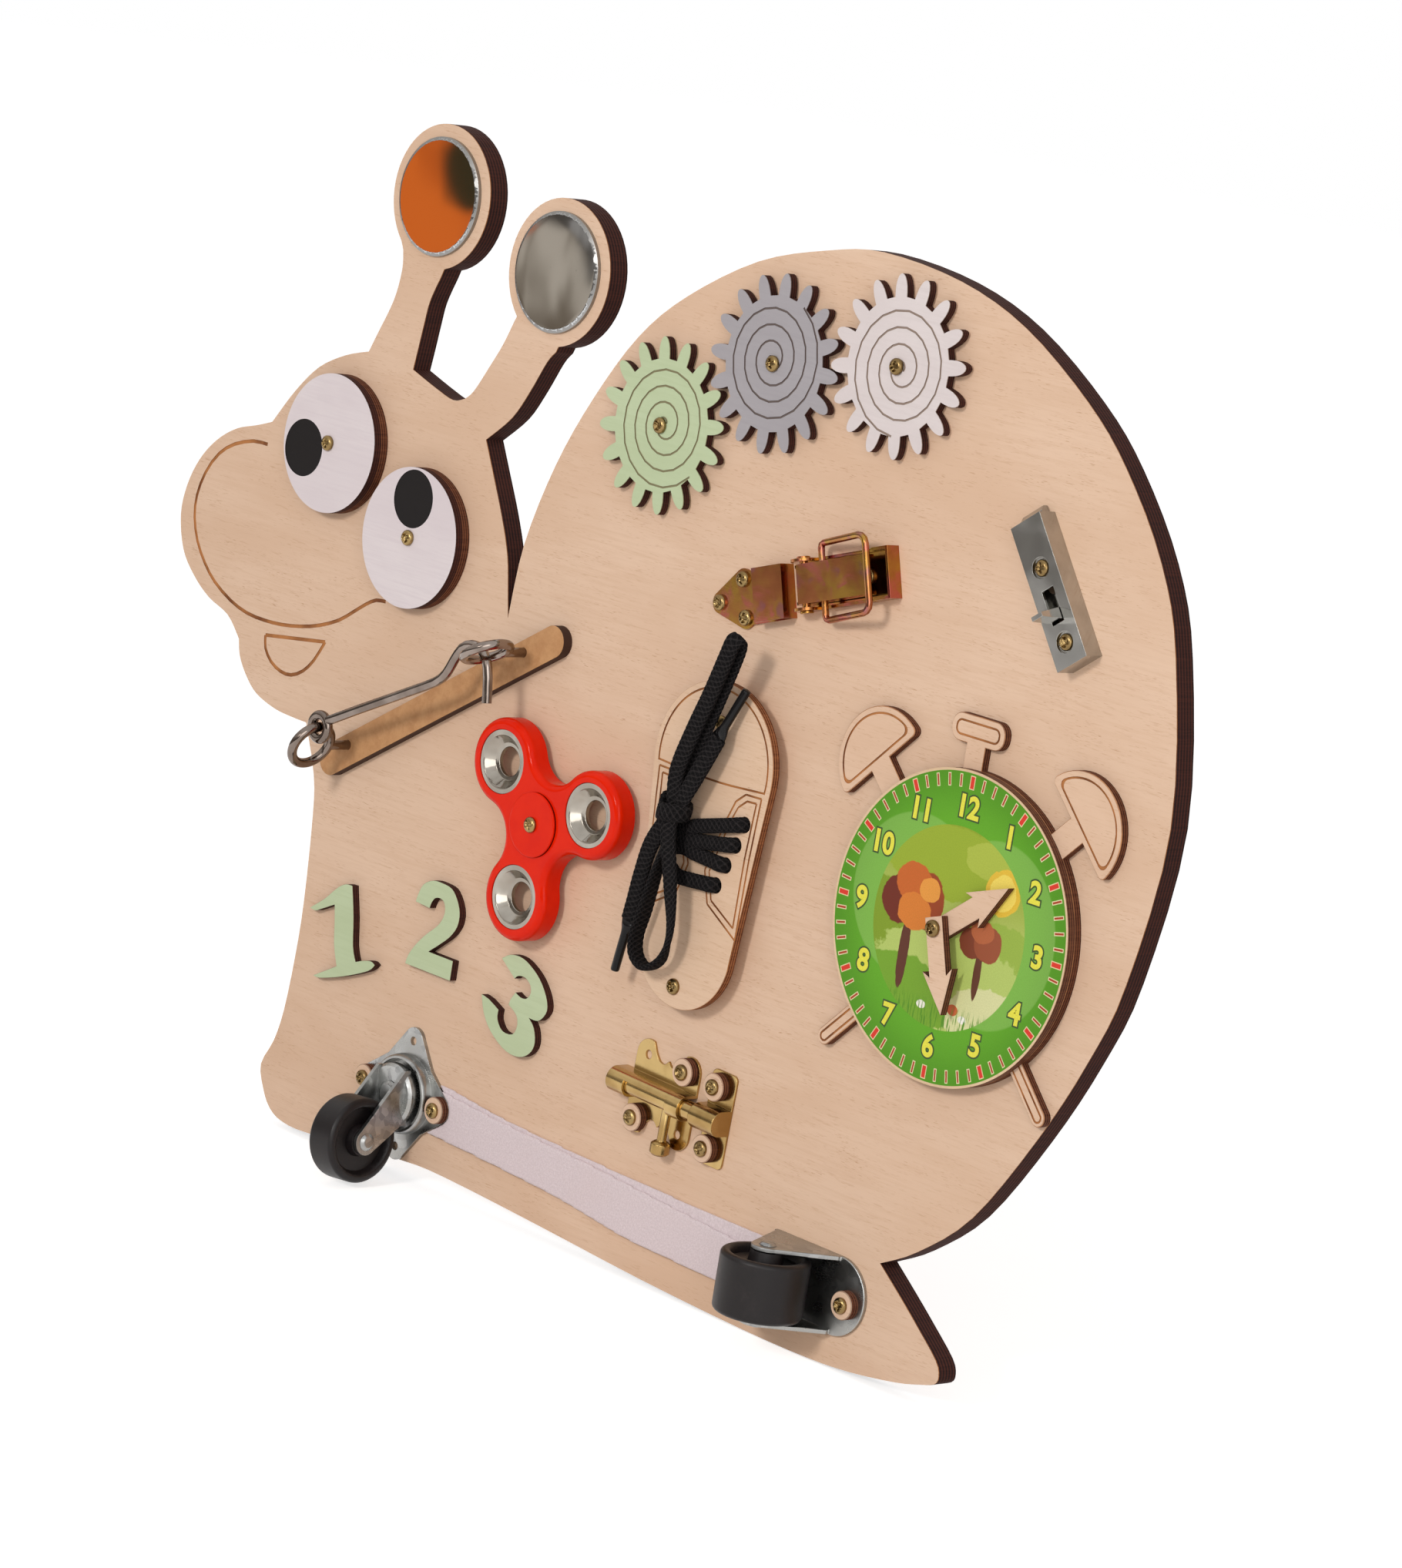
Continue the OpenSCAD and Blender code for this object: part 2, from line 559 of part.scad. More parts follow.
module closed_line(p) for (i = [0:len(p) - 1])
    polygon(tangents(p[i], line_w / 2, p[(i + 1) % len(p)], line_w / 2));
module shoe_plate() color("burlywood") on_face() difference() {
    slab(shoe_lift, ply_t) egg(ball_at, ball_r, heel_at, heel_r);
    engraved(shoe_top) difference() {
        egg(ball_at, ball_r - line_inset, heel_at, heel_r - line_inset);
        egg(ball_at, ball_r - line_inset - line_w, heel_at, heel_r - line_inset - line_w);
        translate([0, -100]) square([100, 92]);
    }
    engraved(shoe_top) ribbon(smooth(toe_line, 2), line_w);
    for (m = [1, -1], line = [panel, panel_inner])
        engraved(shoe_top) closed_line([for (p = line) [ball_at[0] + m * p[0], p[1]]]);
    for (m = [1, -1], p = lace_holes)
        bore([ball_at[0] + m * p[0], p[1]], lace_hole_r, shoe_lift - cut, shoe_top + cut);
    for (p = [shoe_toe_screw, shoe_heel_screw]) bore(p, shank_r, shoe_lift - cut, shoe_top + cut);
}
module shoe_spacers() color("sienna") on_face() for (p = [shoe_toe_screw, shoe_heel_screw])
    difference() {
        bore(p, washer_r, 0, shoe_lift);
        bore(p, shank_r, -cut, shoe_lift + cut);
    }

knot_at = [46.5, -20.5, 14];
knot_size = [6, 4.6, 4];
// Routes of the lace: [[x, y, height], direction of its width]
upper_route = [[[46.5, -19, 15.2], [1, 0, 0]], [[45.8, -8, 15.6], [0.95, -0.2, 0]],
    [[51, 6, 16.6], [0.94, -0.3, 0]], [[57.5, 20, 17.8], [0.94, -0.34, 0]],
    [[63, 33, 19], [0.94, -0.34, 0]], [[65.4, 39, 19.2], [0.94, -0.34, 0]],
    [[66.4, 40.2, 17.4], [0.94, -0.34, 0]], [[65, 36, 16], [0.94, -0.34, 0]],
    [[59.5, 22, 14.8], [0.94, -0.34, 0]], [[52.5, 6, 13.4], [0.94, -0.3, 0]],
    [[47, -8, 12.4], [0.95, -0.2, 0]], [[45, -20, 12.4], [1, 0, 0]],
    [[40.5, -27.5, 12.8], [0.95, -0.3, 0]], [[36, -35.5, 12.6], [0.93, -0.35, 0]],
    [[33, -46, 11.8], [0.95, -0.25, 0]], [[31.2, -55, 11.2], [0.97, -0.2, 0]],
    [[29.8, -62, 10.8], [0.97, -0.2, 0]]];
upper_tip = [28.9, -66.4, 10.5];
upper_tip_dir = [-0.21, -0.97, -0.05];
lower_route = [[[47.5, -23, 17.2], [1, 0, 0]], [[48.6, -30, 17.4], [1, 0, 0]],
    [[52.8, -45.7, 17], [1, -0.2, 0.15]], [[54.6, -59, 16], [0.9, -0.2, 0.6]],
    [[51.8, -69, 15], [0.4, 0.1, 1]], [[45.2, -73.9, 14.4], [0, 0, 1]],
    [[39.4, -71.5, 14.2], [0, 0, 1]], [[37.6, -65.5, 14], [0, 0, 1]],
    [[39.8, -56, 14.2], [0, 0, 1]], [[43.4, -41, 15], [0.3, 0, 1]],
    [[46, -29, 15.4], [0.8, -0.2, 0.6]], [[49, -19, 15.4], [1, -0.3, 0.2]],
    [[53.5, -9, 15], [0.95, -0.35, 0]], [[57.2, -0.5, 14.2], [0.93, -0.37, 0]],
    [[60, 6.6, 13.4], [0.93, -0.37, 0]]];
lower_tip = [61.7, 10.9, 12.9];
lower_tip_dir = [0.38, 0.91, -0.12];
// Each crossing bows a little, as a pulled lace does: height of its middle and its sag down the shoe
crossing_lift = 1.2;
crossing_sag = [2.4, 1.8, 1.2, 0.6];

module lace_crossings() color("black") on_face() for (i = [0:3]) {
    x = lace_holes[i][0];
    y = lace_holes[i][1];
    low = shoe_lift;
    top = shoe_top + lace_t / 2 + 0.1;
    mid = ball_at[0];
    sag = crossing_sag[i];
    tube([for (s = [[-x, 0, low, 0], [-x, 0, shoe_top - 0.2, 0], [1.6 - x, 0, top, 0.4],
            [4.5 - x, 0, top, 1], [-x / 3, sag, top + crossing_lift, 1],
            [x / 3, sag, top + crossing_lift, 1], [x - 4.5, 0, top, 1], [x - 1.6, 0, top, 0.4],
            [x, 0, shoe_top - 0.2, 0], [x, 0, low, 0]])
        [[mid + s[0], y - s[1], s[2]], [0, 1, 0],
         (lace_neck_w + s[3] * (lace_w - lace_neck_w)) / 2, lace_t / 2]], 8);
}
module lace_knot() color("black") on_face() translate(knot_at) rotate([0, 0, 8]) hull()
    for (s = [1, -1], u = [1, -1])
        translate([s * 0.45 * knot_size[0], 0, u * 0.3 * knot_size[2]])
            sphere(knot_size[1] - 0.4 * abs(u), $fn = 16);
module lace_upper() color("black") on_face()
    tube(band(upper_route, lace_w / 2, lace_t / 2, 2), 8);
module lace_lower() color("black") on_face()
    tube(band(lower_route, lace_w / 2, lace_t / 2, 2), 8);
// A tapered throat that pinches the lace, and the plastic tip on it
module aglet(tip, dirv, last) {
    tube([[last, [1, 0, 0], lace_w / 2, lace_t / 2],
          [0.5 * (last + tip), [1, 0, 0], 0.38 * lace_w, 1.1 * lace_t / 2],
          [tip, [1, 0, 0], aglet_r, aglet_r]], 8);
    v = unit(dirv);
    translate(tip) rotate([0, acos(v[2]), atan2(v[1], v[0])]) cylinder(r = aglet_r, h = aglet_len);
}
module lace_aglets() color("black") on_face() {
    aglet(upper_tip, upper_tip_dir, upper_route[len(upper_route) - 1][0]);
    aglet(lower_tip, lower_tip_dir, lower_route[len(lower_route) - 1][0]);
}

// ---- Digits ----

one_outline = concat(smooth([[-19, 4.5], [-16, 4.2], [-13, 5.5], [-6.3, 8.8]], 3),
    smooth([[-6.3, 8.8], [-5, 3], [-3.5, -5], [-0.5, -12]], 3),
    smooth([[-0.5, -12], [-6, -15], [-12, -18.3]], 2),
    smooth([[-12, -18.3], [-8, -18.2], [4, -14.5], [16, -9.5], [19.2, -6.5]], 3),
    smooth([[19.2, -6.5], [17, -5.7], [13, -6.5], [9, -8]], 3),
    smooth([[9, -8], [6.5, -3], [4.5, 7], [1.5, 17.5]], 3),
    smooth([[1.5, 17.5], [-2, 17.2], [-6, 15], [-12, 9.5], [-19, 4.5]], 3));
two_outline = concat(smooth([[-11.2, 6.2], [-10.5, 9], [-8.5, 13], [-4, 15.4], [1, 15.7],
        [6, 15], [9.5, 12], [11.7, 8], [11.8, 4], [10.5, 1], [8, -2], [4, -5.3], [-0.8, -9]], 3),
    [[12, -9], [12, -16]],
    smooth([[-11.8, -16], [-11, -13], [-8.5, -9], [-4, -4], [1.5, 0.7], [3.7, 4], [4.2, 7],
        [3, 9.5], [1, 10.3], [-1.5, 9.8], [-3, 8], [-3.7, 5.7]], 3));
three_outline = concat(smooth([[-9.8, 13.5], [-6, 15.7], [-1, 16.3], [4, 15], [10, 11.5],
        [14.5, 6.5], [16, 2], [14, -1.5], [11.5, -2.8], [8, -2.8]], 3),
    smooth([[8, -2.8], [11, -5.5], [12.5, -10], [11.5, -13.5], [8, -16.3], [3, -17.2], [-3, -16],
        [-10, -12], [-14.5, -7], [-17, -1]], 3),
    smooth([[-17, -1], [-13, -1.7], [-7.5, -4]], 2),
    smooth([[-7.5, -4], [-7.3, -7.3], [-4, -10.5], [1, -10.3], [2.7, -7], [1.5, -3.5], [-3, -1]], 3),
    smooth([[-3, -1], [-2.5, 1], [-0.5, 4]], 2),
    smooth([[-0.5, 4], [2, 3], [5, 3.2], [6.8, 5.5], [6, 8.2], [3, 10], [-0.5, 9.7], [-2, 8.3]], 3));
digit_one_at = [-117.9, -104.7];
digit_two_at = [-71.6, -90.5];
digit_three_at = [-25.9, -105.7];
module digit(p, outline) color("darkseagreen") on_face() at(p) slab(0, ply_t) polygon(outline);
module digit_one() digit(digit_one_at, one_outline);
module digit_two() digit(digit_two_at, two_outline);
module digit_three() digit(digit_three_at, three_outline);

// ---- Clock ----

// Half a disc with its flat side at x = inset and both tips rounded
function half_disc(r, tip, inset) =
    let (x = inset + tip, y = sqrt(pow(r - inset - tip, 2) - x * x), a = atan2(y, x))
    concat(arc([0, 0], r - inset, -a, a, 24), arc([x, y], tip, a, 180, 5),
        arc([x, -y], tip, 180, 360 - a, 5));
bell_dirs = [135, 45];
bell_at = [dial_at + (dial_r + 10) * dir(135.2), dial_at + (dial_r + 9.2) * dir(44.3)];
bell_tip = 2;
bell_stem_w = 9;
knob_at = dial_at + [-4, dial_r + 11.75];
foot_dirs = [225.2, 314];
foot_line_r = foot_w / 2 - 1.1;
foot_from = [for (a = foot_dirs) dial_at + (dial_r - 2) * dir(a)];
foot_to = [for (a = foot_dirs) dial_at + (dial_r + 17.2) * dir(a)];

module clock_plate() color("burlywood") on_face() difference() {
    union() {
        bore(dial_at, dial_r, 0, ply_t);
        slab(0, ply_t) translate(knob_at) polygon(rounded_rect(knob_w, knob_h, 4));
        slab(0, ply_t) translate([knob_at[0] - 4, dial_at[1] + dial_r - 4]) square([8, 12]);
        for (i = [0, 1]) {
            slab(0, ply_t) translate(bell_at[i]) rotate(bell_dirs[i])
                polygon(half_disc(bell_r, bell_tip, 0));
            slab(0, ply_t) translate(bell_at[i]) rotate(bell_dirs[i] + 180)
                translate([-2, -bell_stem_w / 2]) square([14, bell_stem_w]);
            slab(0, ply_t) egg(foot_from[i], foot_w / 2, foot_to[i], foot_w / 2);
        }
    }
    engraved(ply_t) translate(knob_at) difference() {
        polygon(rounded_rect(knob_w - 2 * line_inset, knob_h - 2 * line_inset, 2.3));
        polygon(rounded_rect(knob_w - 2 * (line_inset + line_w), knob_h - 2 * (line_inset + line_w), 1.6));
    }
    for (i = [0, 1]) engraved(ply_t) translate(bell_at[i]) rotate(bell_dirs[i]) difference() {
        polygon(half_disc(bell_r, bell_tip, line_inset));
        polygon(half_disc(bell_r, bell_tip, line_inset + line_w));
    }
    for (i = [0, 1]) engraved(ply_t) difference() {
        egg(foot_from[i], foot_line_r, foot_to[i], foot_line_r);
        egg(foot_from[i], foot_line_r - line_w, foot_to[i], foot_line_r - line_w);
    }
    bore(dial_at, shank_r, -cut, ply_t + cut);
}
module clock_dial() color("yellowgreen") on_face() difference() {
    bore(dial_at, dial_r, ply_t, dial_top);
    bore(dial_at, shank_r, 0, dial_top + cut);
}
// From the centre of a hand's screw to its square end
hub_end = 3.6;
// Arrow with its barbs swept back, drawn along +X
module hand(len, barb, barb_w, a, h) color("peru") on_face() at(dial_at, h, a) difference() {
    linear_extrude(ply_t) polygon([[-hub_end, hand_w / 2], [-hub_end, -hand_w / 2],
        [barb + 2, -hand_w / 2], [barb, -barb_w], [len, 0], [barb, barb_w], [barb + 2, hand_w / 2]]);
    bore([0, 0], shank_r + shaft_gap, -cut, ply_t + cut);
}
module minute_hand() hand(minute_len, 14, 6, 37.5, minute_h);
module hour_hand() hand(hour_len, 13, 6.3, -71.5, hour_h);

// ---- Draw latch: a frame of its own, X from the pin along the lever, Y across ----

ear_r = 4.2;
ear_back = -5.5;
rim_h = 3;
box_h = 5.5;
box_from = 30.5;
bail_pin = [8.7, 5.1];
bail_tip_h = 10.6;
bail_tip_x = 33.4;
lever_top = 9;
lever_from = 0.5;
strike_w = 17.6;
strike_wall_x = -9;
lip_h = 6.2;
lip_l = 13.4;

module in_latch() on_face() at(latch_at, 0, latch_dir) children();
// Draws a side profile (X along, Y up) and makes it a wall from y0 to y1
module wall(y0, y1) translate([0, y1, 0]) rotate([90, 0, 0]) linear_extrude(y1 - y0) children();
module latch_base() color("darkkhaki") in_latch() difference() {
    union() {
        translate([ear_back, -tray_w / 2, 0]) cube([tray_l, tray_w, sheet_t]);
        for (y = [-tray_w / 2, tray_w / 2 - sheet_t]) wall(y, y + sheet_t) {
            translate([0, latch_pin_h]) circle(ear_r);
            polygon([[ear_back, 0], [ear_back + tray_l, 0], [ear_back + tray_l, box_h], [box_from, box_h],
                [box_from, rim_h], [ear_r, rim_h], [ear_r, latch_pin_h], [-ear_r, latch_pin_h],
                [ear_back, rim_h]]);
        }
        translate([ear_back + tray_l - sheet_t, -tray_w / 2, 0]) cube([sheet_t, tray_w, box_h]);
    }
    translate([0, tray_w, latch_pin_h]) rotate([90, 0, 0]) cylinder(r = latch_pin_r, h = 2 * tray_w);
    for (p = latch_screws) bore(p, shank_r, -cut, sheet_t + cut);
}
module latch_lever() color("olive") in_latch() difference() {
    union() {
        translate([lever_from, -lever_w / 2, lever_top - sheet_t]) cube([lever_l, lever_w, sheet_t]);
        for (y = [-lever_w / 2, lever_w / 2 - sheet_t]) wall(y, y + sheet_t) {
            translate([0, latch_pin_h]) circle(3);
            polygon([[0, latch_pin_h - 3], [lever_from + lever_l, rim_h + 1],
                [lever_from + lever_l, lever_top - sheet_t / 2], [lever_from, lever_top - sheet_t / 2],
                [-2, latch_pin_h + 2.2]]);
        }
    }
    translate([0, tray_w, latch_pin_h]) rotate([90, 0, 0])
        cylinder(r = latch_pin_r + shaft_gap, h = 2 * tray_w);
    translate([bail_pin[0], tray_w, bail_pin[1]]) rotate([90, 0, 0])
        cylinder(r = bail_r + shaft_gap, h = 2 * tray_w);
}
module latch_pin() color("silver") in_latch() {
    translate([0, tray_w / 2, latch_pin_h]) rotate([90, 0, 0]) cylinder(r = latch_pin_r, h = tray_w);
    for (s = [1, -1]) translate([0, s * (tray_w / 2 + 0.4), latch_pin_h]) rotate([90, 0, 0])
        cylinder(r = latch_pin_r + 0.9, h = 0.8, center = true);
}
// A bent wire: two legs through the lever, two arms and a crossbar
module latch_bail() color("darkkhaki") in_latch() {
    out = bail_half_w - bail_r;
    // The swept wire is a little thicker, so its flats lie outside the round legs
    bail_sweep_r = 1.05 * bail_r;
    for (s = [1, -1]) translate([bail_pin[0], s * (lever_w / 2 - sheet_t - 0.4), bail_pin[1]])
        rotate([-90 * s, 0, 0]) cylinder(r = bail_r, h = out - lever_w / 2 + sheet_t + 0.4 - 1.5);
    tube([for (p = concat([[bail_pin[0], -out + 2.6, bail_pin[1]]],
            [for (a = [0, 45, 90])
                [bail_pin[0] + 1.5 - 1.5 * cos(a), -out + 1.5 - 1.5 * sin(a), bail_pin[1]]],
            [for (a = [0, 30, 60, 90]) [bail_tip_x - 3 + 3 * sin(a), -out + 3 - 3 * cos(a), bail_tip_h]],
            [for (a = [0, 30, 60, 90]) [bail_tip_x - 3 + 3 * cos(a), out - 3 + 3 * sin(a), bail_tip_h]],
            [for (a = [0, 45, 90]) [bail_pin[0] + 1.5 - 1.5 * sin(a), out - 1.5 + 1.5 * cos(a), bail_pin[1]]],
            [[bail_pin[0], out - 2.6, bail_pin[1]]]))
        [p, [0.22, 0, 1], bail_sweep_r, bail_sweep_r]], 12);
}
module latch_strike() color("rosybrown") in_latch() translate([0, strike_mid, 0]) difference() {
    union() {
        for (p = strike_screws) bore(p - [0, strike_mid], 3.6, 0, sheet_t);
        slab(0, sheet_t) polygon([[-44.5, -3], [-44.5, 3], [-33, 9.5], [-27.5, strike_w / 2],
            [strike_wall_x, strike_w / 2], [strike_wall_x, -strike_w / 2],
            [-27.5, -strike_w / 2], [-33, -9.5]]);
        translate([strike_wall_x - sheet_t, -strike_w / 2, 0]) cube([sheet_t, strike_w, lip_h]);
        translate([strike_wall_x - lip_l, -strike_w / 2, lip_h - sheet_t]) cube([lip_l, strike_w, sheet_t]);
    }
    for (p = strike_screws) bore(p - [0, strike_mid], shank_r, -cut, sheet_t + cut);
}

// ---- Spring catch: X along the housing from its middle, nose at -X ----

catch_wall = 1;
catch_slot = [-1, 10.5, 5];
catch_bolt_w = 9.4;
catch_bolt_t = 3.4;
catch_nose = 3;
catch_floor = 0.5;
catch_bolt_l = 37;
nose_cut = 2.4;
// From the first screw to the far end of the spring beside its post
spring_reach = 12;
fin_at = 7.4;
fin_rise = 9;
module in_catch() on_face() at(catch_at, 0, catch_dir) children();
module catch_housing() color("darkgray") in_catch() difference() {
    union() {
        difference() {
            translate([-housing_l / 2, -housing_w / 2, 0]) cube([housing_l, housing_w, housing_h]);
            translate([-housing_l / 2 + catch_wall, -housing_w / 2 + catch_wall, -cut])
                cube([housing_l - 2 * catch_wall, housing_w - 2 * catch_wall, housing_h - catch_wall + cut]);
        }
        for (p = catch_screws) bore(p, shank_r + 0.7, 0, housing_h - catch_wall);
        for (p = catch_screws)
            bore(p, dimple_r, housing_h - dimple_depth - catch_wall, housing_h - catch_wall);
    }
    for (p = catch_screws) bore(p, dimple_r - 0.6, housing_h - dimple_depth, housing_h + cut);
    for (p = catch_screws) bore(p, shank_r, -cut, housing_h + cut);
    translate([catch_slot[0], -catch_slot[2] / 2, catch_wall])
        cube([catch_slot[1] - catch_slot[0], catch_slot[2], housing_h]);
    // The window for the nose, and the notch in the lower side
    translate([-housing_l / 2 - cut, -catch_bolt_w / 2 - play, -cut])
        cube([catch_wall + 2 * cut, catch_bolt_w + 2 * play, catch_floor + catch_bolt_t + play + cut]);
    translate([-7, -housing_w / 2 - cut, -cut]) cube([14, catch_wall + 2 * cut, 1.6 + cut]);
}
module catch_bolt() color("lightgray") in_catch() difference() {
    union() {
        difference() {
            translate([-housing_l / 2 - catch_nose, -catch_bolt_w / 2, catch_floor])
                cube([catch_bolt_l, catch_bolt_w, catch_bolt_t]);
            translate([-housing_l / 2 - catch_nose, 0, catch_floor + catch_bolt_t]) rotate([0, 45, 0])
                cube([nose_cut, catch_bolt_w + 1, nose_cut], center = true);
        }
        // Thumb fin through the slot, taller on one side
        translate([fin_at, catch_slot[2] / 2 - play, 0]) rotate([90, 0, 0])
            linear_extrude(catch_slot[2] - 2 * play) polygon([[-2, catch_floor + catch_bolt_t - 0.2],
                [2.4, catch_floor + catch_bolt_t - 0.2], [2.4, housing_h + 0.6], [1.8, housing_h + fin_rise],
                [0.4, housing_h + fin_rise], [-1.2, housing_h + 1]]);
    }
    slot = shank_r + 0.7 + play;
    slab(0, housing_h - dimple_depth - catch_wall) travel_slot(catch_screws[0], slot);
}
// Slot in the bolt that clears the first screw post over the whole travel
module travel_slot(p, r) {
    translate(p) circle(r);
    translate(p + [catch_travel, 0]) circle(r);
    translate(p - [0, r]) square([catch_travel, 2 * r]);
}
// A bent leaf that presses on the bolt and holds it where it is put
module catch_spring() color("gray") in_catch()
    translate([catch_screws[0][0] - spring_reach, 2, 0]) rotate([90, 0, 0]) linear_extrude(4) polygon([
        [0, housing_h - catch_wall], [0, housing_h - catch_wall - 0.5],
        [4, catch_floor + catch_bolt_t + play], [5, catch_floor + catch_bolt_t + play],
        [8, housing_h - catch_wall - 0.5], [8, housing_h - catch_wall]]);

// ---- Barrel bolt: X along the rod, Y across, from the middle of its plate ----

sleeve_gap = 0.1;
sleeve_r = rod_r + sleeve_gap + bolt_sheet;
sleeve_from = -19.4;
rod_from = -18.5;
rod_to = 29;
window = [-11.4, 9.2];
stem_x = 7.1;
stem_r = 1.6;
knob_r = 3.4;
knob_l = 4.5;
keeper_x = 26.4;
keeper_w = 11.5;
module in_bolt() on_face() at(bolt_at, 0, bolt_dir) children();
// Plate edge with a round tab at each corner and a cusp between two scallops
tab_r = 5.3;
plate_edge = concat(arc([bolt_half_l - tab_r, bolt_half_h - tab_r], tab_r, 0, 110, 8),
    smooth([[6.4, 12.6], [4.2, 10.2], [1.8, 9.8], [0, 11.4]], 3),
    smooth([[0, 11.4], [-1.8, 9.8], [-4.2, 10.2], [-6.4, 12.6]], 3),
    arc([-bolt_half_l + tab_r, bolt_half_h - tab_r], tab_r, 70, 180, 8));
bolt_outline = concat(plate_edge, [for (i = [len(plate_edge) - 1:-1:0])
    [plate_edge[i][0], -plate_edge[i][1]]]);
// Arched channel over the rod: a round crown on two straight walls
module arch(r) {
    translate([0, rod_h]) circle(r);
    translate([-r, 0]) square([2 * r, rod_h]);
}
module channel(x0, x1, r) translate([x0, 0, 0]) rotate([90, 0, 90]) linear_extrude(x1 - x0) arch(r);
module bolt_plate() color("goldenrod") in_bolt() difference() {
    union() {
        slab(0, bolt_sheet) polygon(bolt_outline);
        channel(sleeve_from, bolt_half_l, sleeve_r);
    }
    channel(sleeve_from - cut, bolt_half_l + cut, rod_r + sleeve_gap);
    // The window that the knob's stem moves in
    translate([window[0], -sleeve_r - cut, bolt_sheet])
        cube([window[1] - window[0], sleeve_r + cut + 1.7, 2 * sleeve_r + rod_h]);
    for (p = bolt_holes) bore(p, shank_r, -cut, bolt_sheet + cut);
}
module bolt_rod() color("gold") in_bolt() translate([rod_from, 0, rod_h]) rotate([0, 90, 0]) {
    cylinder(r = rod_r, h = rod_to - rod_from - 0.8);
    translate([0, 0, rod_to - rod_from - 0.8]) cylinder(r1 = rod_r, r2 = rod_r - 0.8, h = 0.8);
}
module bolt_knob() color("gold") in_bolt() translate([stem_x, 0, rod_h]) rotate([90, 0, 0])
    difference() {
        rotate_extrude() polygon([[0, 2.4], [stem_r, 2.4], [stem_r, knob_reach - knob_l - 0.6],
            [knob_r - 0.8, knob_reach - knob_l], [knob_r, knob_reach - knob_l + 0.8],
            [knob_r, knob_reach - 0.9], [knob_r - 0.9, knob_reach], [0, knob_reach]]);
        rotate([0, 90, 0]) translate([0, 0, -10]) cylinder(r = rod_r + shaft_gap, h = 20);
    }
module bolt_keeper() color("goldenrod") in_bolt() difference() {
    union() {
        slab(0, bolt_sheet) translate([keeper_x, 0]) polygon(rounded_rect(keeper_w, 2 * bolt_half_h, 2));
        channel(keeper_x - keeper_w / 2, keeper_x + keeper_w / 2, sleeve_r);
    }
    channel(keeper_x - keeper_w, keeper_x + keeper_w / 2 - bolt_sheet, rod_r + sleeve_gap);
    for (p = keeper_holes) bore(p, shank_r, -cut, bolt_sheet + cut);
}

// ---- Swivel caster ----

raceway_r = swivel_hole_r - washer_r - play;
raceway_in = 12.2;
raceway_round = 0.8;
raceway_break = 0.2;
wheel_gap = 0.15;
dish_depth = 3.3;
dish_r = 11;
dish_top = swivel_axle_h - swivel_wheel_r - wheel_gap;
dish_h = dish_top - dish_depth;
raceway_h = dish_h - play;
kingpin_r = 3.4;
ear_tip_r = 4.8;
leg_in = swivel_wheel_w / 2 + 0.3;
axle_lobe_r = 4.6;
fork_dir = 5;
leg_root = 9.5;
leg_lean = 38;
module swivel_outline(grow = 0) {
    circle(16 + grow);
    for (a = [0:90:270]) rotate(swivel_dir + a) {
        translate([swivel_hole_r, 0]) circle(ear_tip_r + grow);
        polygon(tangents([0, 0], 16 + grow, [swivel_hole_r, 0], ear_tip_r + grow));
    }
}
module swivel_plate() color("silver") on_face() at(swivel_at) difference() {
    union() {
        slab(0, caster_sheet) swivel_outline();
        rotate_extrude() polygon([[raceway_in, 0], [raceway_r, caster_sheet], [raceway_r, 0.5 * raceway_h],
            [raceway_r - 0.4 * raceway_round, 0.88 * raceway_h], [raceway_r - raceway_round, raceway_h],
            [raceway_in + raceway_break, raceway_h], [raceway_in, 0.84 * raceway_h]]);
        cylinder(r = kingpin_r + 2, h = dish_top - caster_sheet - play);
        cylinder(r = kingpin_r, h = dish_top + 0.6);
        translate([0, 0, dish_top + play]) cylinder(r1 = kingpin_r + 1.6, r2 = kingpin_r, h = 1);
    }
    for (a = [0:90:270]) bore(swivel_hole_r * dir(swivel_dir + a), shank_r, -cut, caster_sheet + cut);
}
module swivel_fork() color("silver") on_face() at(swivel_at, 0, fork_dir) difference() {
    union() {
        rotate_extrude() polygon([[kingpin_r + shaft_gap, dish_top - caster_sheet],
            [dish_r - caster_sheet, dish_top - caster_sheet], [dish_r - caster_sheet, dish_h],
            [dish_r, dish_h], [dish_r, dish_top - 1], [dish_r - 1, dish_top],
            [kingpin_r + shaft_gap, dish_top]]);
        // Two legs from the dish out to the axle
        for (x = [-leg_in - caster_sheet, leg_in]) translate([x, 0, 0]) rotate([90, 0, 90])
            linear_extrude(caster_sheet) {
                translate([-trail, swivel_axle_h]) circle(axle_lobe_r);
                polygon([[leg_root, dish_h + 1], [leg_root, dish_top],
                    [-trail, swivel_axle_h] + axle_lobe_r * dir(leg_lean),
                    [-trail, swivel_axle_h] + axle_lobe_r * dir(leg_lean + 180),
                    [-leg_root, dish_top], [-leg_root, dish_h + 1]]);
            }
    }
    translate([-20, -trail, swivel_axle_h]) rotate([0, 90, 0]) cylinder(r = axle_r, h = 40);
}
module swivel_axle() color("silver") on_face() at(swivel_at, 0, fork_dir)
    translate([0, -trail, swivel_axle_h]) rotate([0, 90, 0]) {
        half = leg_in + caster_sheet;
        cylinder(r = axle_r, h = 2 * half, center = true);
        for (s = [1, -1]) rotate([0, 90 - 90 * s, 0]) translate([0, 0, half])
            cylinder(r1 = axle_r + 1.2, r2 = axle_r, h = 1.2);
    }
hub_r = 5.2;
wheel_recess = 2.7;
tread_round = 1.6;
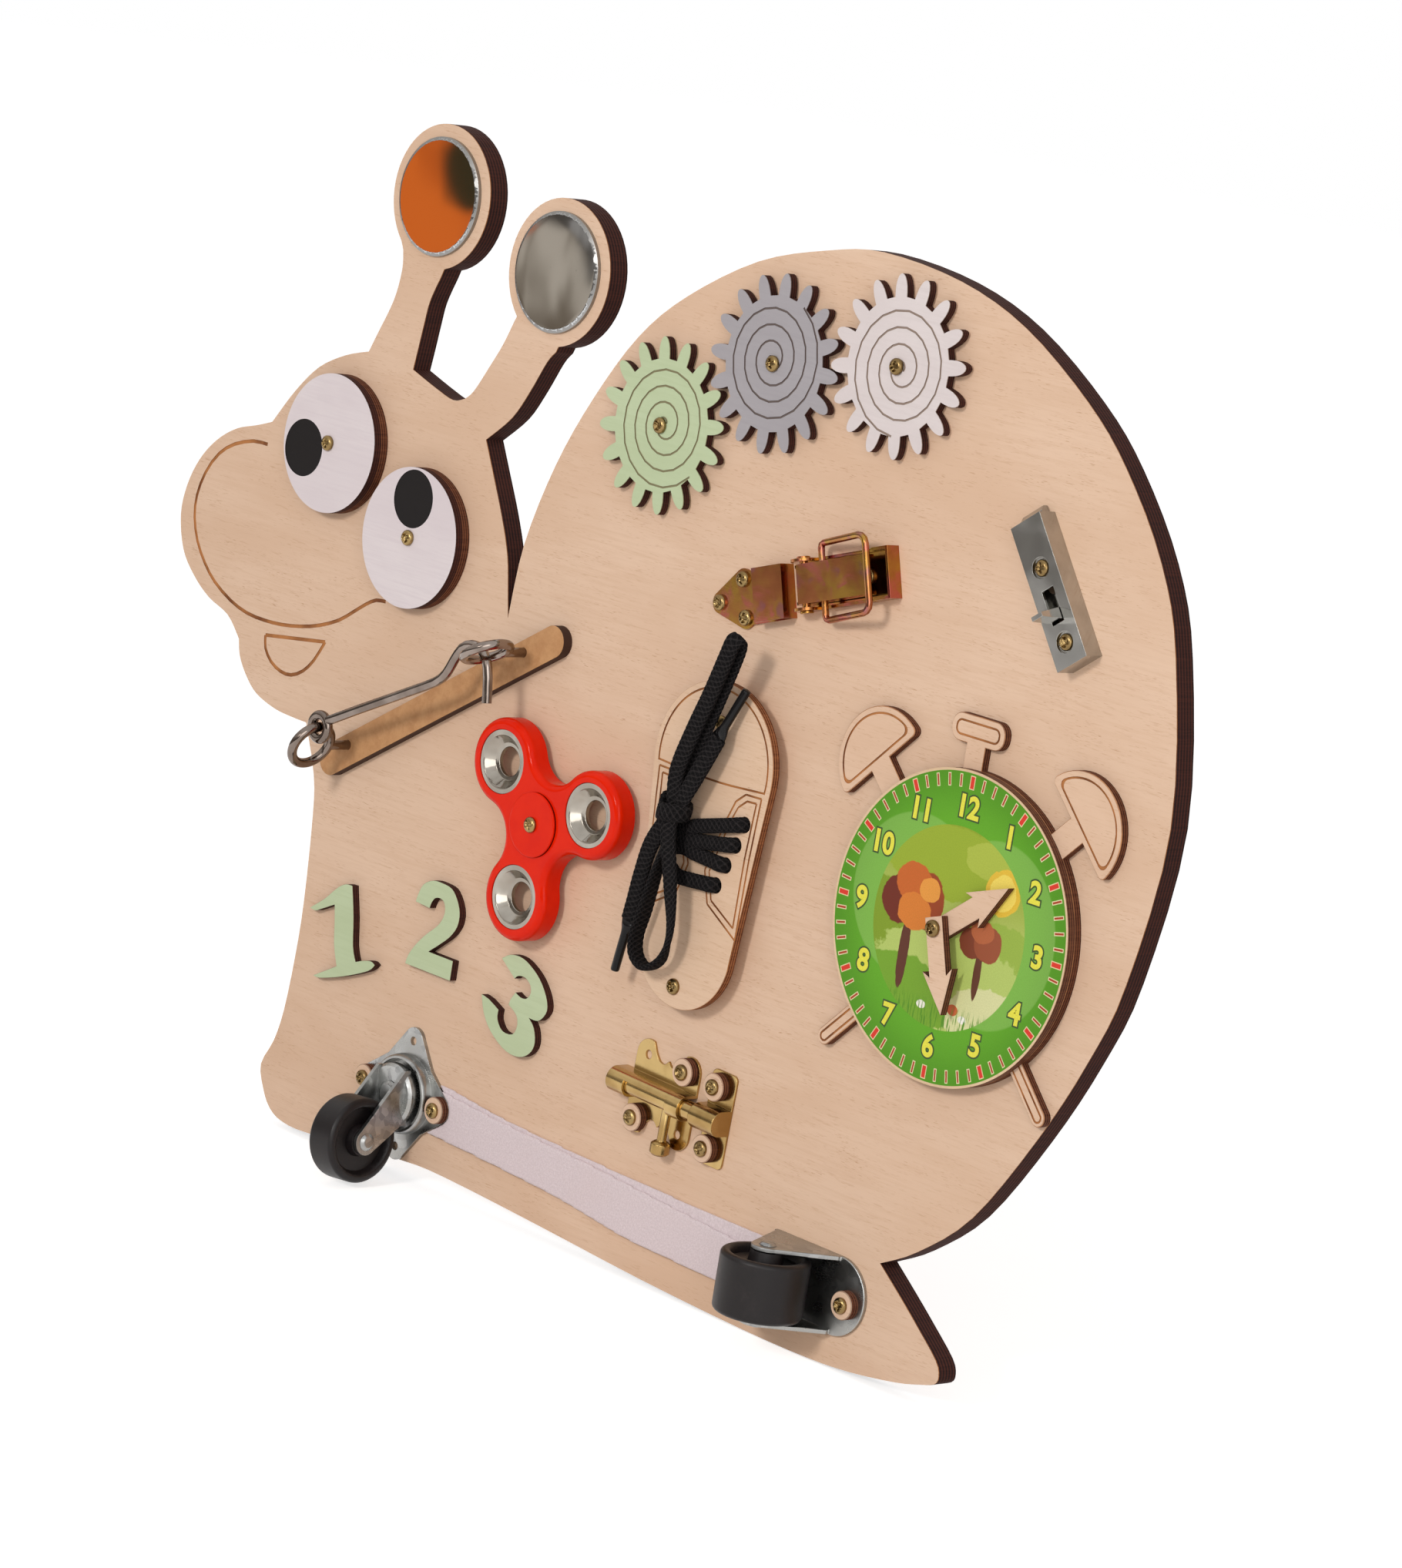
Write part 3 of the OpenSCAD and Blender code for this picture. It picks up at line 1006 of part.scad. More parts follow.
// Wheel turned about Z: rounded tread, a recess on each side and a hub
module wheel(r, w, hub_w) {
    bore_in = axle_r + shaft_gap;
    floor_h = w / 2 - wheel_recess;
    rotate_extrude() polygon(concat([[bore_in, -hub_w / 2], [hub_r, -hub_w / 2],
            [hub_r + 0.6, -floor_h], [r - 4, -floor_h], [r - 2.8, -w / 2 + 0.2], [r - 2, -w / 2]],
        arc([r - tread_round, tread_round - w / 2], tread_round, -90, 0, 5),
        arc([r - tread_round, w / 2 - tread_round], tread_round, 0, 90, 5),
        [[r - 2, w / 2], [r - 2.8, w / 2 - 0.2], [r - 4, floor_h], [hub_r + 0.6, floor_h],
         [hub_r, hub_w / 2], [bore_in, hub_w / 2]]));
}
module swivel_wheel() color("dimgray") on_face() at(swivel_at, 0, fork_dir)
    translate([0, -trail, swivel_axle_h]) rotate([0, 90, 0])
        wheel(swivel_wheel_r, swivel_wheel_w, swivel_wheel_w + 0.2);

// ---- Fixed caster ----

bracket_left = fixed_at[0] - 14;
bracket_mid = fixed_at[0] + 16.7;
fixed_lobe_r = 5.4;
module fixed_bracket() color("silver") on_face() difference() {
    union() {
        translate([bracket_left, fixed_at[1] - bracket_w / 2, 0])
            cube([bracket_mid - bracket_left, bracket_w, caster_sheet]);
        bore([bracket_mid, fixed_at[1]], bracket_w / 2, 0, caster_sheet);
        for (y = [-bracket_w / 2, bracket_w / 2 - caster_sheet])
            translate([0, fixed_at[1], 0]) wall(y, y + caster_sheet) {
                lobe = [fixed_at[0], fixed_axle_h];
                translate(lobe) circle(fixed_lobe_r);
                polygon([[bracket_left, 0], [bracket_mid, 0], [bracket_mid, caster_sheet + 1],
                    lobe + fixed_lobe_r * dir(48), lobe + fixed_lobe_r * dir(155)]);
            }
    }
    translate([fixed_at[0], fixed_at[1] + bracket_w, fixed_axle_h]) rotate([90, 0, 0])
        cylinder(r = axle_r, h = 2 * bracket_w);
    bore(fixed_screw, shank_r, -cut, caster_sheet + cut);
}
module fixed_axle() color("silver") on_face()
    translate([fixed_at[0], fixed_at[1], fixed_axle_h]) rotate([90, 0, 0]) {
        cylinder(r = axle_r, h = bracket_w, center = true);
        for (s = [1, -1]) rotate([90 - 90 * s, 0, 0]) translate([0, 0, bracket_w / 2])
            cylinder(r1 = axle_r + 1, r2 = axle_r, h = 1);
    }
module fixed_wheel() color("dimgray") on_face()
    translate([fixed_at[0], fixed_at[1], fixed_axle_h]) rotate([90, 0, 0])
        wheel(fixed_wheel_r, fixed_wheel_w, bracket_w - 2 * caster_sheet - 2 * play);

// ---- Tapes ----

tape_to = bracket_left - play;
loop_edge = [[-70, -142.6], [-51, -143.4], [-25, -145.8], [15, -147.3], [60, -148.2], [tape_to, -148.6]];
loop_foot = [[tape_to, -167], [60, -166.5], [25, -164.5], [-35, -161.5], [-70, -160]];
hook_edge = [[-70, -144], [-25, -146.8], [15, -148.4], [65, -151.5], [tape_to, -154.2]];
hook_foot = [[tape_to, -169.5], [86, -169], [45, -168], [25, -166], [5, -164], [-35, -162], [-70, -160.8]];
module tape(top, foot, h) color("thistle") on_face() slab(h, tape_t) difference() {
    polygon(concat(smooth(top, 3), smooth(foot, 3)));
    translate(swivel_at) swivel_outline(play);
    translate([swivel_at[0] - 20, swivel_at[1] - 30]) square([20, 60]);
}
module loop_tape() tape(loop_edge, loop_foot, 0);
module hook_tape() tape(hook_edge, hook_foot, tape_t);

// ---- Fasteners ----

module pivot_screws() color("darkkhaki") on_face() for (s = pivot_sites) at(s[0]) screw(s[1]);
module fixing_screws() color("darkkhaki") on_face() for (s = fixing_sites) at(s[0]) screw(s[1]);
module plywood_washers() color("wheat") on_face() for (s = washer_sites) difference() {
    bore(s[0], washer_r, s[1], s[1] + washer_t);
    bore(s[0], shank_r, s[1] - cut, s[1] + washer_t + cut);
}

board();
mirror_left();
mirror_right();
eye_left();
eye_left_backing();
eye_right();
eye_right_backing();
gear_green();
gear_grey();
gear_white();
gear_washers();
hook_bar();
screw_eye_left();
screw_eye_right();
cabin_hook();
spinner_body();
spinner_weights();
bearing_outer();
bearing_balls();
bearing_inner();
spinner_cap();
spinner_spacer();
shoe_plate();
shoe_spacers();
lace_crossings();
lace_knot();
lace_upper();
lace_lower();
lace_aglets();
digit_one();
digit_two();
digit_three();
clock_plate();
clock_dial();
minute_hand();
hour_hand();
latch_base();
latch_lever();
latch_bail();
latch_pin();
latch_strike();
catch_housing();
catch_bolt();
catch_spring();
bolt_plate();
bolt_rod();
bolt_knob();
bolt_keeper();
pivot_screws();
fixing_screws();
plywood_washers();
swivel_plate();
swivel_fork();
swivel_wheel();
swivel_axle();
fixed_bracket();
fixed_wheel();
fixed_axle();
loop_tape();
hook_tape();
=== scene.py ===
import json
import math

import bmesh
import bpy
from mathutils import Matrix, Vector, noise
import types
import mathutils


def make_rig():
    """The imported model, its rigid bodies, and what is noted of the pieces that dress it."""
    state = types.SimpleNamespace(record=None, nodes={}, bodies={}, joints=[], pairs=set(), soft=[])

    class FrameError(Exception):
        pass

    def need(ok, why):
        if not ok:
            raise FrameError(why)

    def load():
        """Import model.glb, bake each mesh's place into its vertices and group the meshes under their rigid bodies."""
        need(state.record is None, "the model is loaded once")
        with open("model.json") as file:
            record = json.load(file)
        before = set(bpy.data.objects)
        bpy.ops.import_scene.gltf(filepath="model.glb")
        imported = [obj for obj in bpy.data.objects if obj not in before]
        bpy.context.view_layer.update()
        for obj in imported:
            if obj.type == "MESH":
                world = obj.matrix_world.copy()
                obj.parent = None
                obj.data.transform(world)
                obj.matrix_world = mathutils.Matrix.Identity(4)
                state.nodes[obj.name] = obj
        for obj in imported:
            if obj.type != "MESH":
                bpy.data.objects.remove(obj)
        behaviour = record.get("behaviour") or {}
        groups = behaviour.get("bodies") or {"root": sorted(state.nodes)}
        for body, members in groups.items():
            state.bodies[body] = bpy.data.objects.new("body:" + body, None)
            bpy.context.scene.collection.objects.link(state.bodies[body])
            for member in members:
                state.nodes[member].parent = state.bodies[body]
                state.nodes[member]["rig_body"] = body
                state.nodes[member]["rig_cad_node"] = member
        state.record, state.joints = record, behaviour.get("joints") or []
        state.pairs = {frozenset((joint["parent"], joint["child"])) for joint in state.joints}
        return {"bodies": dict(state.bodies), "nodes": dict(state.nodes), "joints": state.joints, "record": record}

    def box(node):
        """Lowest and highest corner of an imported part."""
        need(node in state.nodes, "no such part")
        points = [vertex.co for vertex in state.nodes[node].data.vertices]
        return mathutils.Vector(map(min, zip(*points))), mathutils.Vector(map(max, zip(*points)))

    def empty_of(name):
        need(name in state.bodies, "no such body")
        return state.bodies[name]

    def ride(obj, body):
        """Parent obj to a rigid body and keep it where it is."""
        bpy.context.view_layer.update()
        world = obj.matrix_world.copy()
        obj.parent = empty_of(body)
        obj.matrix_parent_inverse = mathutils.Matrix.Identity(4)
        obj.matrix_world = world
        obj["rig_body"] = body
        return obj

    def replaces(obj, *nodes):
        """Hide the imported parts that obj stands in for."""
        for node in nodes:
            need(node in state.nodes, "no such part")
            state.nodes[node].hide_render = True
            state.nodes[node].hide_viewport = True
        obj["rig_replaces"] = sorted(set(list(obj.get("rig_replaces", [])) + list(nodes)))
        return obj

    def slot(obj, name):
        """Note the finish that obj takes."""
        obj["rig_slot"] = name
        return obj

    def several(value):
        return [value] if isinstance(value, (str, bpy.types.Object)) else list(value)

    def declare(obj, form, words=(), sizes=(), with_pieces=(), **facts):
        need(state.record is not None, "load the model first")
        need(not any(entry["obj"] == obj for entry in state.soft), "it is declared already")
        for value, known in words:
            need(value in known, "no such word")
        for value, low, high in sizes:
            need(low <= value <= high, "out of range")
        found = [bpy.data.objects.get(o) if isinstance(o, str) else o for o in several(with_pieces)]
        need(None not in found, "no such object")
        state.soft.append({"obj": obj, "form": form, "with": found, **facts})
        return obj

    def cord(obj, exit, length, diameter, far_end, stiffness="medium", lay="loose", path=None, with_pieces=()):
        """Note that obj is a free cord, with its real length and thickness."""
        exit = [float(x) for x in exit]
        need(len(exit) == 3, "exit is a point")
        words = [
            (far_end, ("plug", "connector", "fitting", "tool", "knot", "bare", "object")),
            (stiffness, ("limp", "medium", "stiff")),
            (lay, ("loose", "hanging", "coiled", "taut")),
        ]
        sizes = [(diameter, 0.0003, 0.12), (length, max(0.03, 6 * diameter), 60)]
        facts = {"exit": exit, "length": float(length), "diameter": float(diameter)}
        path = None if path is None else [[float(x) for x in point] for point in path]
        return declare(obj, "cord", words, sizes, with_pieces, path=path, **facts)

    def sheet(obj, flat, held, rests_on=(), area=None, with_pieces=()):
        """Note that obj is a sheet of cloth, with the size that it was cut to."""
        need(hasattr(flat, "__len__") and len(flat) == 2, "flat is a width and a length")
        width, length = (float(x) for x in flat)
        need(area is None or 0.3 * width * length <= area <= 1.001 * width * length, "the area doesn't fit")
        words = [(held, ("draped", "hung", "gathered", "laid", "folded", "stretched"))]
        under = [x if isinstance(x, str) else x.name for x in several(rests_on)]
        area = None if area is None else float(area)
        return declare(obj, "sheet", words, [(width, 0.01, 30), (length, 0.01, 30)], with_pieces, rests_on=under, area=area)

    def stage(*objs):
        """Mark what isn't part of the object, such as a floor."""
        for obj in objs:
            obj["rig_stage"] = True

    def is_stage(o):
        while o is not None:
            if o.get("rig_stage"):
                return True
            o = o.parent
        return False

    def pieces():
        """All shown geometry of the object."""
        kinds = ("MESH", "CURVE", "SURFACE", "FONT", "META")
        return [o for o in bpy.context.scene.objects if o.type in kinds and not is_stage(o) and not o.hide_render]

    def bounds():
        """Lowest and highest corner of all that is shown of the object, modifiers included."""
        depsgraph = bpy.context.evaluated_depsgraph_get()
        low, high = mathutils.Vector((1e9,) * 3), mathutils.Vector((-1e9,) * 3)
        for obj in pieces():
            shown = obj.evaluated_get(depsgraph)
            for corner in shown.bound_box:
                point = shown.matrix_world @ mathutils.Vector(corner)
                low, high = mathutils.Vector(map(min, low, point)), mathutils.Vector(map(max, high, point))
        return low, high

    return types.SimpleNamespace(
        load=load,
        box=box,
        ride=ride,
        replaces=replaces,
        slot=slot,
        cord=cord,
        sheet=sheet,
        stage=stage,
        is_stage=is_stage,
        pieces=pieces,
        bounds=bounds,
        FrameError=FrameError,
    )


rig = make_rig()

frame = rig.load()
cad_box = [list(corner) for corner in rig.bounds()]

# ---- Sizes, in millimetres on the face of the board ----

BOARD_T = 8
PLY_T = 3
ENGRAVE = 0.3
NO_CUT = 0.001
EYE_BACKING_TOP = 3.25
EYE_TOP = 6.25
GEAR_TOP = 3.85
DIAL_TOP = 6
MINUTE_HAND_TOP = 9.25
HOUR_HAND_TOP = 12.5
SHOE_TOP = 8
# The washers lie at several heights, so their burnt layers count from a plane in front of all of them
WASHER_TOP = 40
DIAL_AT = (165, -30)
DIAL_R = 50
SPINNER_AT = (-22.4, -42.4)
LACE_W = 6.5
LACE_T = 2
AGLET_R = 1.5
AGLET_LEN = 14
AGLET_SIDES = 24
MM = 0.001
# Vertices nearer than this are one, in metres
WELD = 0.000004
# Faces that meet at more than this many degrees keep a sharp edge
SHARP_ANGLE = 32


def on_face(x, y, h):
    """A point at x, y on the board's face and h in front of it, in metres in the part's frame."""
    return Vector((x, -(BOARD_T + h), y)) * MM


def front(h):
    """The frame's y, in metres, of a surface h millimetres in front of the board's face."""
    return -(BOARD_T + h) * MM


def srgb(red, green, blue):
    """A colour given in 0 to 255 steps, as the linear colour that a socket takes."""
    def linear(step):
        share = step / 255
        return share / 12.92 if share <= 0.04045 else ((share + 0.055) / 1.055) ** 2.4
    return (linear(red), linear(green), linear(blue), 1)


# ---- Camera ----

camera = bpy.data.objects.new("camera", bpy.data.cameras.new("camera"))
bpy.context.scene.collection.objects.link(camera)
camera.data.lens = 139.97
camera.data.sensor_width = 36
camera.data.sensor_fit = "HORIZONTAL"
camera.data.clip_end = 50
camera_right = Vector((0.68072, 0.71549, 0.15716)).normalized()
camera_back = Vector((0.69536, -0.69861, 0.16864)).normalized()
camera_up = camera_back.cross(camera_right).normalized()
camera.matrix_world = Matrix.Translation(Vector((1280.65, -1252.4, 287.22)) * MM) @ Matrix(
    (camera_right, camera_up, camera_back)).transposed().to_4x4()
bpy.context.scene.camera = camera


# ---- Lace ----

# Steps of a curve between two of its points
SPLINE_STEPS = 24
# The braid: strands, length and height of a strand's wave, and how much of that height lies inside the band
STRANDS = 7
STRAND_LENGTH = 2.0
BRAID_DEPTH = 0.3
BRAID_SINK = 0.6
# The band's section: points round it, length of one step, and its shape, where 1 is an ellipse
ROUND = 48
BRAID_STEP = 0.3
SQUARENESS = 0.75


def spline(points):
    """A smooth curve through the points."""
    last = len(points) - 1
    curve = []
    for i in range(last):
        a, b, c, d = (points[max(0, min(last, i + k))] for k in (-1, 0, 1, 2))
        for j in range(SPLINE_STEPS):
            t = j / SPLINE_STEPS
            curve.append(0.5 * (2 * b + (c - a) * t + (2 * a - 5 * b + 4 * c - d) * t * t
                                + (3 * b - a - 3 * c + d) * t ** 3))
    return curve + [points[last]]


def skin(mesh, rings):
    """Joins a row of rings into a tube and closes its two ends."""
    for lower, upper in zip(rings, rings[1:]):
        for j in range(len(lower)):
            after = (j + 1) % len(lower)
            mesh.faces.new((lower[j], lower[after], upper[after], upper[j]))
    mesh.faces.new(list(reversed(rings[0])))
    mesh.faces.new(rings[-1])
    bmesh.ops.recalc_face_normals(mesh, faces=mesh.faces)


def braid(name, rows):
    """A braided band through rows of (centre, direction of its width, half width, half thickness)."""
    centres = spline([row[0] for row in rows])
    lengths = [0]
    for a, b in zip(centres, centres[1:]):
        lengths.append(lengths[-1] + (b - a).length)
    widths = spline([row[1] for row in rows])
    sizes = spline([Vector((row[2], row[3])) for row in rows])
    count = max(8, int(lengths[-1] / BRAID_STEP))
    picks, k = [], 0
    for i in range(count + 1):
        want = lengths[-1] * i / count
        while k < len(lengths) - 2 and lengths[k + 1] < want:
            k += 1
        t = (want - lengths[k]) / max(1e-9, lengths[k + 1] - lengths[k])
        picks.append((centres[k].lerp(centres[k + 1], t), widths[k].lerp(widths[k + 1], t),
                      sizes[k].lerp(sizes[k + 1], t), want))
    mesh = bmesh.new()
    rings, crowns = [], []
    for i, (centre, width, size, run) in enumerate(picks):
        along = (picks[min(i + 1, count)][0] - picks[max(i - 1, 0)][0]).normalized()
        across = (width - width.dot(along) * along).normalized()
        up = along.cross(across)
        ring = []
        for j in range(ROUND):
            turn = 2 * math.pi * j / ROUND
            c, s = math.cos(turn), math.sin(turn)
            flat = math.copysign(abs(c) ** SQUARENESS, c) * size[0] * across
            thick = math.copysign(abs(s) ** SQUARENESS, s) * size[1] * up
            warp = math.sin(2 * math.pi * (run / STRAND_LENGTH + STRANDS * j / ROUND))
            weft = math.sin(2 * math.pi * (run / STRAND_LENGTH - STRANDS * j / ROUND))
            crowns.append(max(warp, weft))
            relief = BRAID_DEPTH * (crowns[-1] - BRAID_SINK)
            normal = (c / size[0] * across + s / size[1] * up).normalized()
            ring.append(mesh.verts.new((centre + flat + thick + relief * normal) * MM))
        rings.append(ring)
    skin(mesh, rings)
    band = piece(name, mesh)
    band.data.attributes.new("crown", "FLOAT", "POINT").data.foreach_set("value", crowns)
    return band, [pick[0] * MM for pick in picks]


def piece(name, mesh, smooth=True):
    """Makes the bmesh a piece of the scene."""
    data = bpy.data.meshes.new(name)
    mesh.to_mesh(data)
    mesh.free()
    for face in data.polygons:
        face.use_smooth = smooth
    made = bpy.data.objects.new(name, data)
    bpy.context.scene.collection.objects.link(made)
    return made


def route_rows(route):
    """Rows in the frame's axes from a route of (point, direction of the width) on the face."""
    return [(Vector((p[0], -(BOARD_T + p[2]), p[1])), Vector((w[0], -w[2], w[1])), LACE_W / 2, LACE_T / 2)
            for p, w in route]


UPPER_ROUTE = [
    ((46.5, -19, 15.2), (1, 0, 0)), ((45.8, -8, 15.6), (0.95, -0.2, 0)),
    ((51, 6, 16.6), (0.94, -0.3, 0)), ((57.5, 20, 17.8), (0.94, -0.34, 0)),
    ((63, 33, 19), (0.94, -0.34, 0)), ((65.4, 39, 19.2), (0.94, -0.34, 0)),
    ((66.4, 40.2, 17.4), (0.94, -0.34, 0)), ((65, 36, 16), (0.94, -0.34, 0)),
    ((59.5, 22, 14.8), (0.94, -0.34, 0)), ((52.5, 6, 13.4), (0.94, -0.3, 0)),
    ((47, -8, 12.4), (0.95, -0.2, 0)), ((45, -20, 12.4), (1, 0, 0)),
    ((40.5, -27.5, 12.8), (0.95, -0.3, 0)), ((36, -35.5, 12.6), (0.93, -0.35, 0)),
    ((33, -46, 11.8), (0.95, -0.25, 0)), ((31.2, -55, 11.2), (0.97, -0.2, 0)),
    ((29.8, -62, 10.8), (0.97, -0.2, 0))]
UPPER_TIP = ((28.9, -66.4, 10.5), (-0.21, -0.97, -0.05))
LOWER_ROUTE = [
    ((47.5, -23, 17.2), (1, 0, 0)), ((48.6, -30, 17.4), (1, 0, 0)),
    ((52.8, -45.7, 17), (1, -0.2, 0.15)), ((54.6, -59, 16), (0.9, -0.2, 0.6)),
    ((51.8, -69, 15), (0.4, 0.1, 1)), ((45.2, -73.9, 14.4), (0, 0, 1)),
    ((39.4, -71.5, 14.2), (0, 0, 1)), ((37.6, -65.5, 14), (0, 0, 1)),
    ((39.8, -56, 14.2), (0, 0, 1)), ((43.4, -41, 15), (0.3, 0, 1)),
    ((46, -29, 15.4), (0.8, -0.2, 0.6)), ((49, -19, 15.4), (1, -0.3, 0.2)),
    ((53.5, -9, 15), (0.95, -0.35, 0)), ((57.2, -0.5, 14.2), (0.93, -0.37, 0)),
    ((60, 6.6, 13.4), (0.93, -0.37, 0))]
LOWER_TIP = ((61.7, 10.9, 12.9), (0.38, 0.91, -0.12))
KNOT_AT = (46.5, -20.5, 14)


def lace_leg(name, route, node):
    band, path = braid(name, route_rows(route))
    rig.ride(band, "board")
    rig.replaces(band, node)
    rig.slot(band, "black_lace")
    return band, path


def length_of(path):
    return sum((b - a).length for a, b in zip(path, path[1:]))


upper_lace, upper_path = lace_leg("lace_upper_leg", UPPER_ROUTE, "lace_upper")
lower_lace, lower_path = lace_leg("lace_lower_leg", LOWER_ROUTE, "lace_lower")


def aglet(name, last, tip):
    """The pinched throat of the lace and the film tube shrunk on its end."""
    end, way = Vector(tip[0]), Vector(tip[1]).normalized()
    start = Vector(last)
    rows = [(start, 3.1, 1.0), (start.lerp(end, 0.45), 2.6, 1.15), (start.lerp(end, 0.8), 1.75, 1.4),
            (end, AGLET_R, AGLET_R), (end + way * 1, AGLET_R, AGLET_R),
            (end + way * (AGLET_LEN - 0.6), AGLET_R, AGLET_R),
            (end + way * (AGLET_LEN - 0.15), AGLET_R - 0.15, AGLET_R - 0.15),
            (end + way * AGLET_LEN, AGLET_R - 0.5, AGLET_R - 0.5)]
    mesh = bmesh.new()
    rings = []
    for p, a, b in rows:
        centre = Vector((p[0], -(BOARD_T + p[2]), p[1]))
        along = Vector((way[0], -way[2], way[1]))
        across = (Vector((1, 0, 0)) - along[0] * along).normalized()
        up = along.cross(across)
        rings.append([mesh.verts.new((centre + a * math.cos(t) * across + b * math.sin(t) * up) * MM)
                      for t in (2 * math.pi * k / AGLET_SIDES for k in range(AGLET_SIDES))])
    skin(mesh, rings)
    made = piece(name, mesh)
    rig.ride(made, "board")
    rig.slot(made, "black_aglet")
    return made


upper_aglet = aglet("aglet_upper", UPPER_ROUTE[-1][0], UPPER_TIP)
lower_aglet = aglet("aglet_lower", LOWER_ROUTE[-1][0], LOWER_TIP)
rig.replaces(upper_aglet, "lace_aglets")
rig.cord(upper_lace, exit=upper_path[0], length=length_of(upper_path), diameter=LACE_W * MM,
        far_end="fitting", stiffness="limp", lay="loose", path=upper_path, with_pieces=[upper_aglet])
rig.cord(lower_lace, exit=lower_path[0], length=length_of(lower_path), diameter=LACE_W * MM,
        far_end="fitting", stiffness="limp", lay="loose", path=lower_path, with_pieces=[lower_aglet])

# The knot: a little over one turn of the lace round the legs, falling as it goes
KNOT_ROWS = 15
KNOT_TURN = 400
KNOT_REACH = (5.6, 3.9)
KNOT_FALL = 0.24
knot_rows = []
for k in range(KNOT_ROWS):
    turn = math.radians(-KNOT_TURN / 2 + KNOT_TURN * k / (KNOT_ROWS - 1))
    knot_rows.append((on_face(KNOT_AT[0] + KNOT_REACH[0] * math.cos(turn), KNOT_AT[1] + 1.6 - KNOT_FALL * k,
                              KNOT_AT[2] + 0.6 + KNOT_REACH[1] * math.sin(turn)) / MM,
                      Vector((0.12, 0, 1)), 2.9, 0.95))
knot, _ = braid("lace_knot_turns", knot_rows)
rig.ride(knot, "board")
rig.replaces(knot, "lace_knot")
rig.slot(knot, "black_lace")

# The crossings dive into their holes, at this offset to both sides of the shoe's middle and this y
SHOE_MID = 54
LACE_HOLES = [(18.5, -19.5), (16, -26.9), (13, -34.3), (10, -41.7)]
# Where the crossings meet the knot: its offset from the middle, and the y of each there
KNOT_DX = -5
CROSSING_MEET = (-25.6, -30, -32.6, -42.4)
crossings = []
for k, ((x, y), meet) in enumerate(zip(LACE_HOLES, CROSSING_MEET)):
    top = SHOE_TOP + LACE_T / 2 + 0.2

    def dip(dx):
        way = (x - dx) / (x - KNOT_DX) if dx > KNOT_DX else (dx + x) / (KNOT_DX + x)
        return (y - meet) * way

    # Offset from the middle, height, half width, half thickness
    rows = [(on_face(SHOE_MID + dx, y - dip(dx), h) / MM, Vector((0, 0, 1)), half_w, half_t)
            for dx, h, half_w, half_t in (
                (-x, 5.4, 2.1, 1.4), (-x, 7.4, 2.3, 1.7), (1.2 - x, top, 2.4, 1.6),
                (KNOT_DX, top + 1, 2.4, 1.3), (0, top + 1.3, 2.4, 1.4), (x - 5, top + 0.5, 2.4, 1.5),
                (x - 1.2, top, 2.5, 1.7), (x, 7.4, 2.3, 1.7), (x, 5.4, 2.1, 1.4))]
    crossing, _ = braid("lace_crossing_%d" % (k + 1), rows)
    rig.ride(crossing, "board")
    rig.slot(crossing, "black_lace")
    crossings.append(crossing)
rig.replaces(crossings[0], "lace_crossings")


# ---- Node graphs ----

class Graph:
    """Short words for the nodes of one tree."""

    def __init__(self, tree):
        self.tree = tree

    def put(self, socket, value):
        if isinstance(value, bpy.types.NodeSocket):
            self.tree.links.new(value, socket)
        else:
            socket.default_value = value

    def node(self, kind, inputs, **settings):
        made = self.tree.nodes.new(kind)
        for key, value in settings.items():
            setattr(made, key, value)
        for key, value in inputs.items():
            self.put(made.inputs[key], value)
        return made

    def place(self):
        return self.node("ShaderNodeTexCoord", {}).outputs["Object"]

    def facing(self):
        return self.node("ShaderNodeTexCoord", {}).outputs["Normal"]

    def split(self, vector):
        return self.node("ShaderNodeSeparateXYZ", {0: vector}).outputs

    def math(self, operation, *values):
        return self.node("ShaderNodeMath", dict(enumerate(values)), operation=operation).outputs[0]

    def times(self, a, b):
        return self.math("MULTIPLY", a, b)

    def plus(self, a, b):
        return self.math("ADD", a, b)

    def minus(self, a, b):
        return self.math("SUBTRACT", a, b)

    def invert(self, share):
        return self.math("SUBTRACT", 1, share)

    def step(self, low, high, value):
        return self.node("ShaderNodeMapRange", {"Value": value, "From Min": low, "From Max": high},
                         interpolation_type="SMOOTHSTEP").outputs[0]

    def ramp(self, low, high, value):
        return self.node("ShaderNodeMapRange", {"Value": value, "To Min": low, "To Max": high}).outputs[0]

    def mix(self, share, a, b, blend="MIX"):
        return self.node("ShaderNodeMix", {0: share, 6: a, 7: b}, data_type="RGBA",
                         blend_type=blend).outputs[2]

    def stretch(self, vector, scale, turn=(0, 0, 0), move=(0, 0, 0)):
        return self.node("ShaderNodeMapping", {"Vector": vector, "Scale": scale, "Rotation": turn,
                                               "Location": move}).outputs[0]

    def noise(self, vector, scale=1, detail=2, roughness=0.5, distortion=0):
        return self.node("ShaderNodeTexNoise", {"Vector": vector, "Scale": scale, "Detail": detail,
                                                "Roughness": roughness, "Distortion": distortion}).outputs[0]

    def cells(self, vector, scale, output="Color"):
        return self.node("ShaderNodeTexVoronoi", {"Vector": vector, "Scale": scale}).outputs[output]

    def bump(self, height, distance, strength=1):
        return self.node("ShaderNodeBump", {"Height": height, "Distance": distance,
                                            "Strength": strength}).outputs[0]

    def use(self, tree, **inputs):
        made = self.node("ShaderNodeGroup", {}, node_tree=tree)
        for key, value in inputs.items():
            self.put(made.inputs[key.replace("_", " ")], value)
        return made.outputs


SOCKETS = {"color": "NodeSocketColor", "float": "NodeSocketFloat"}


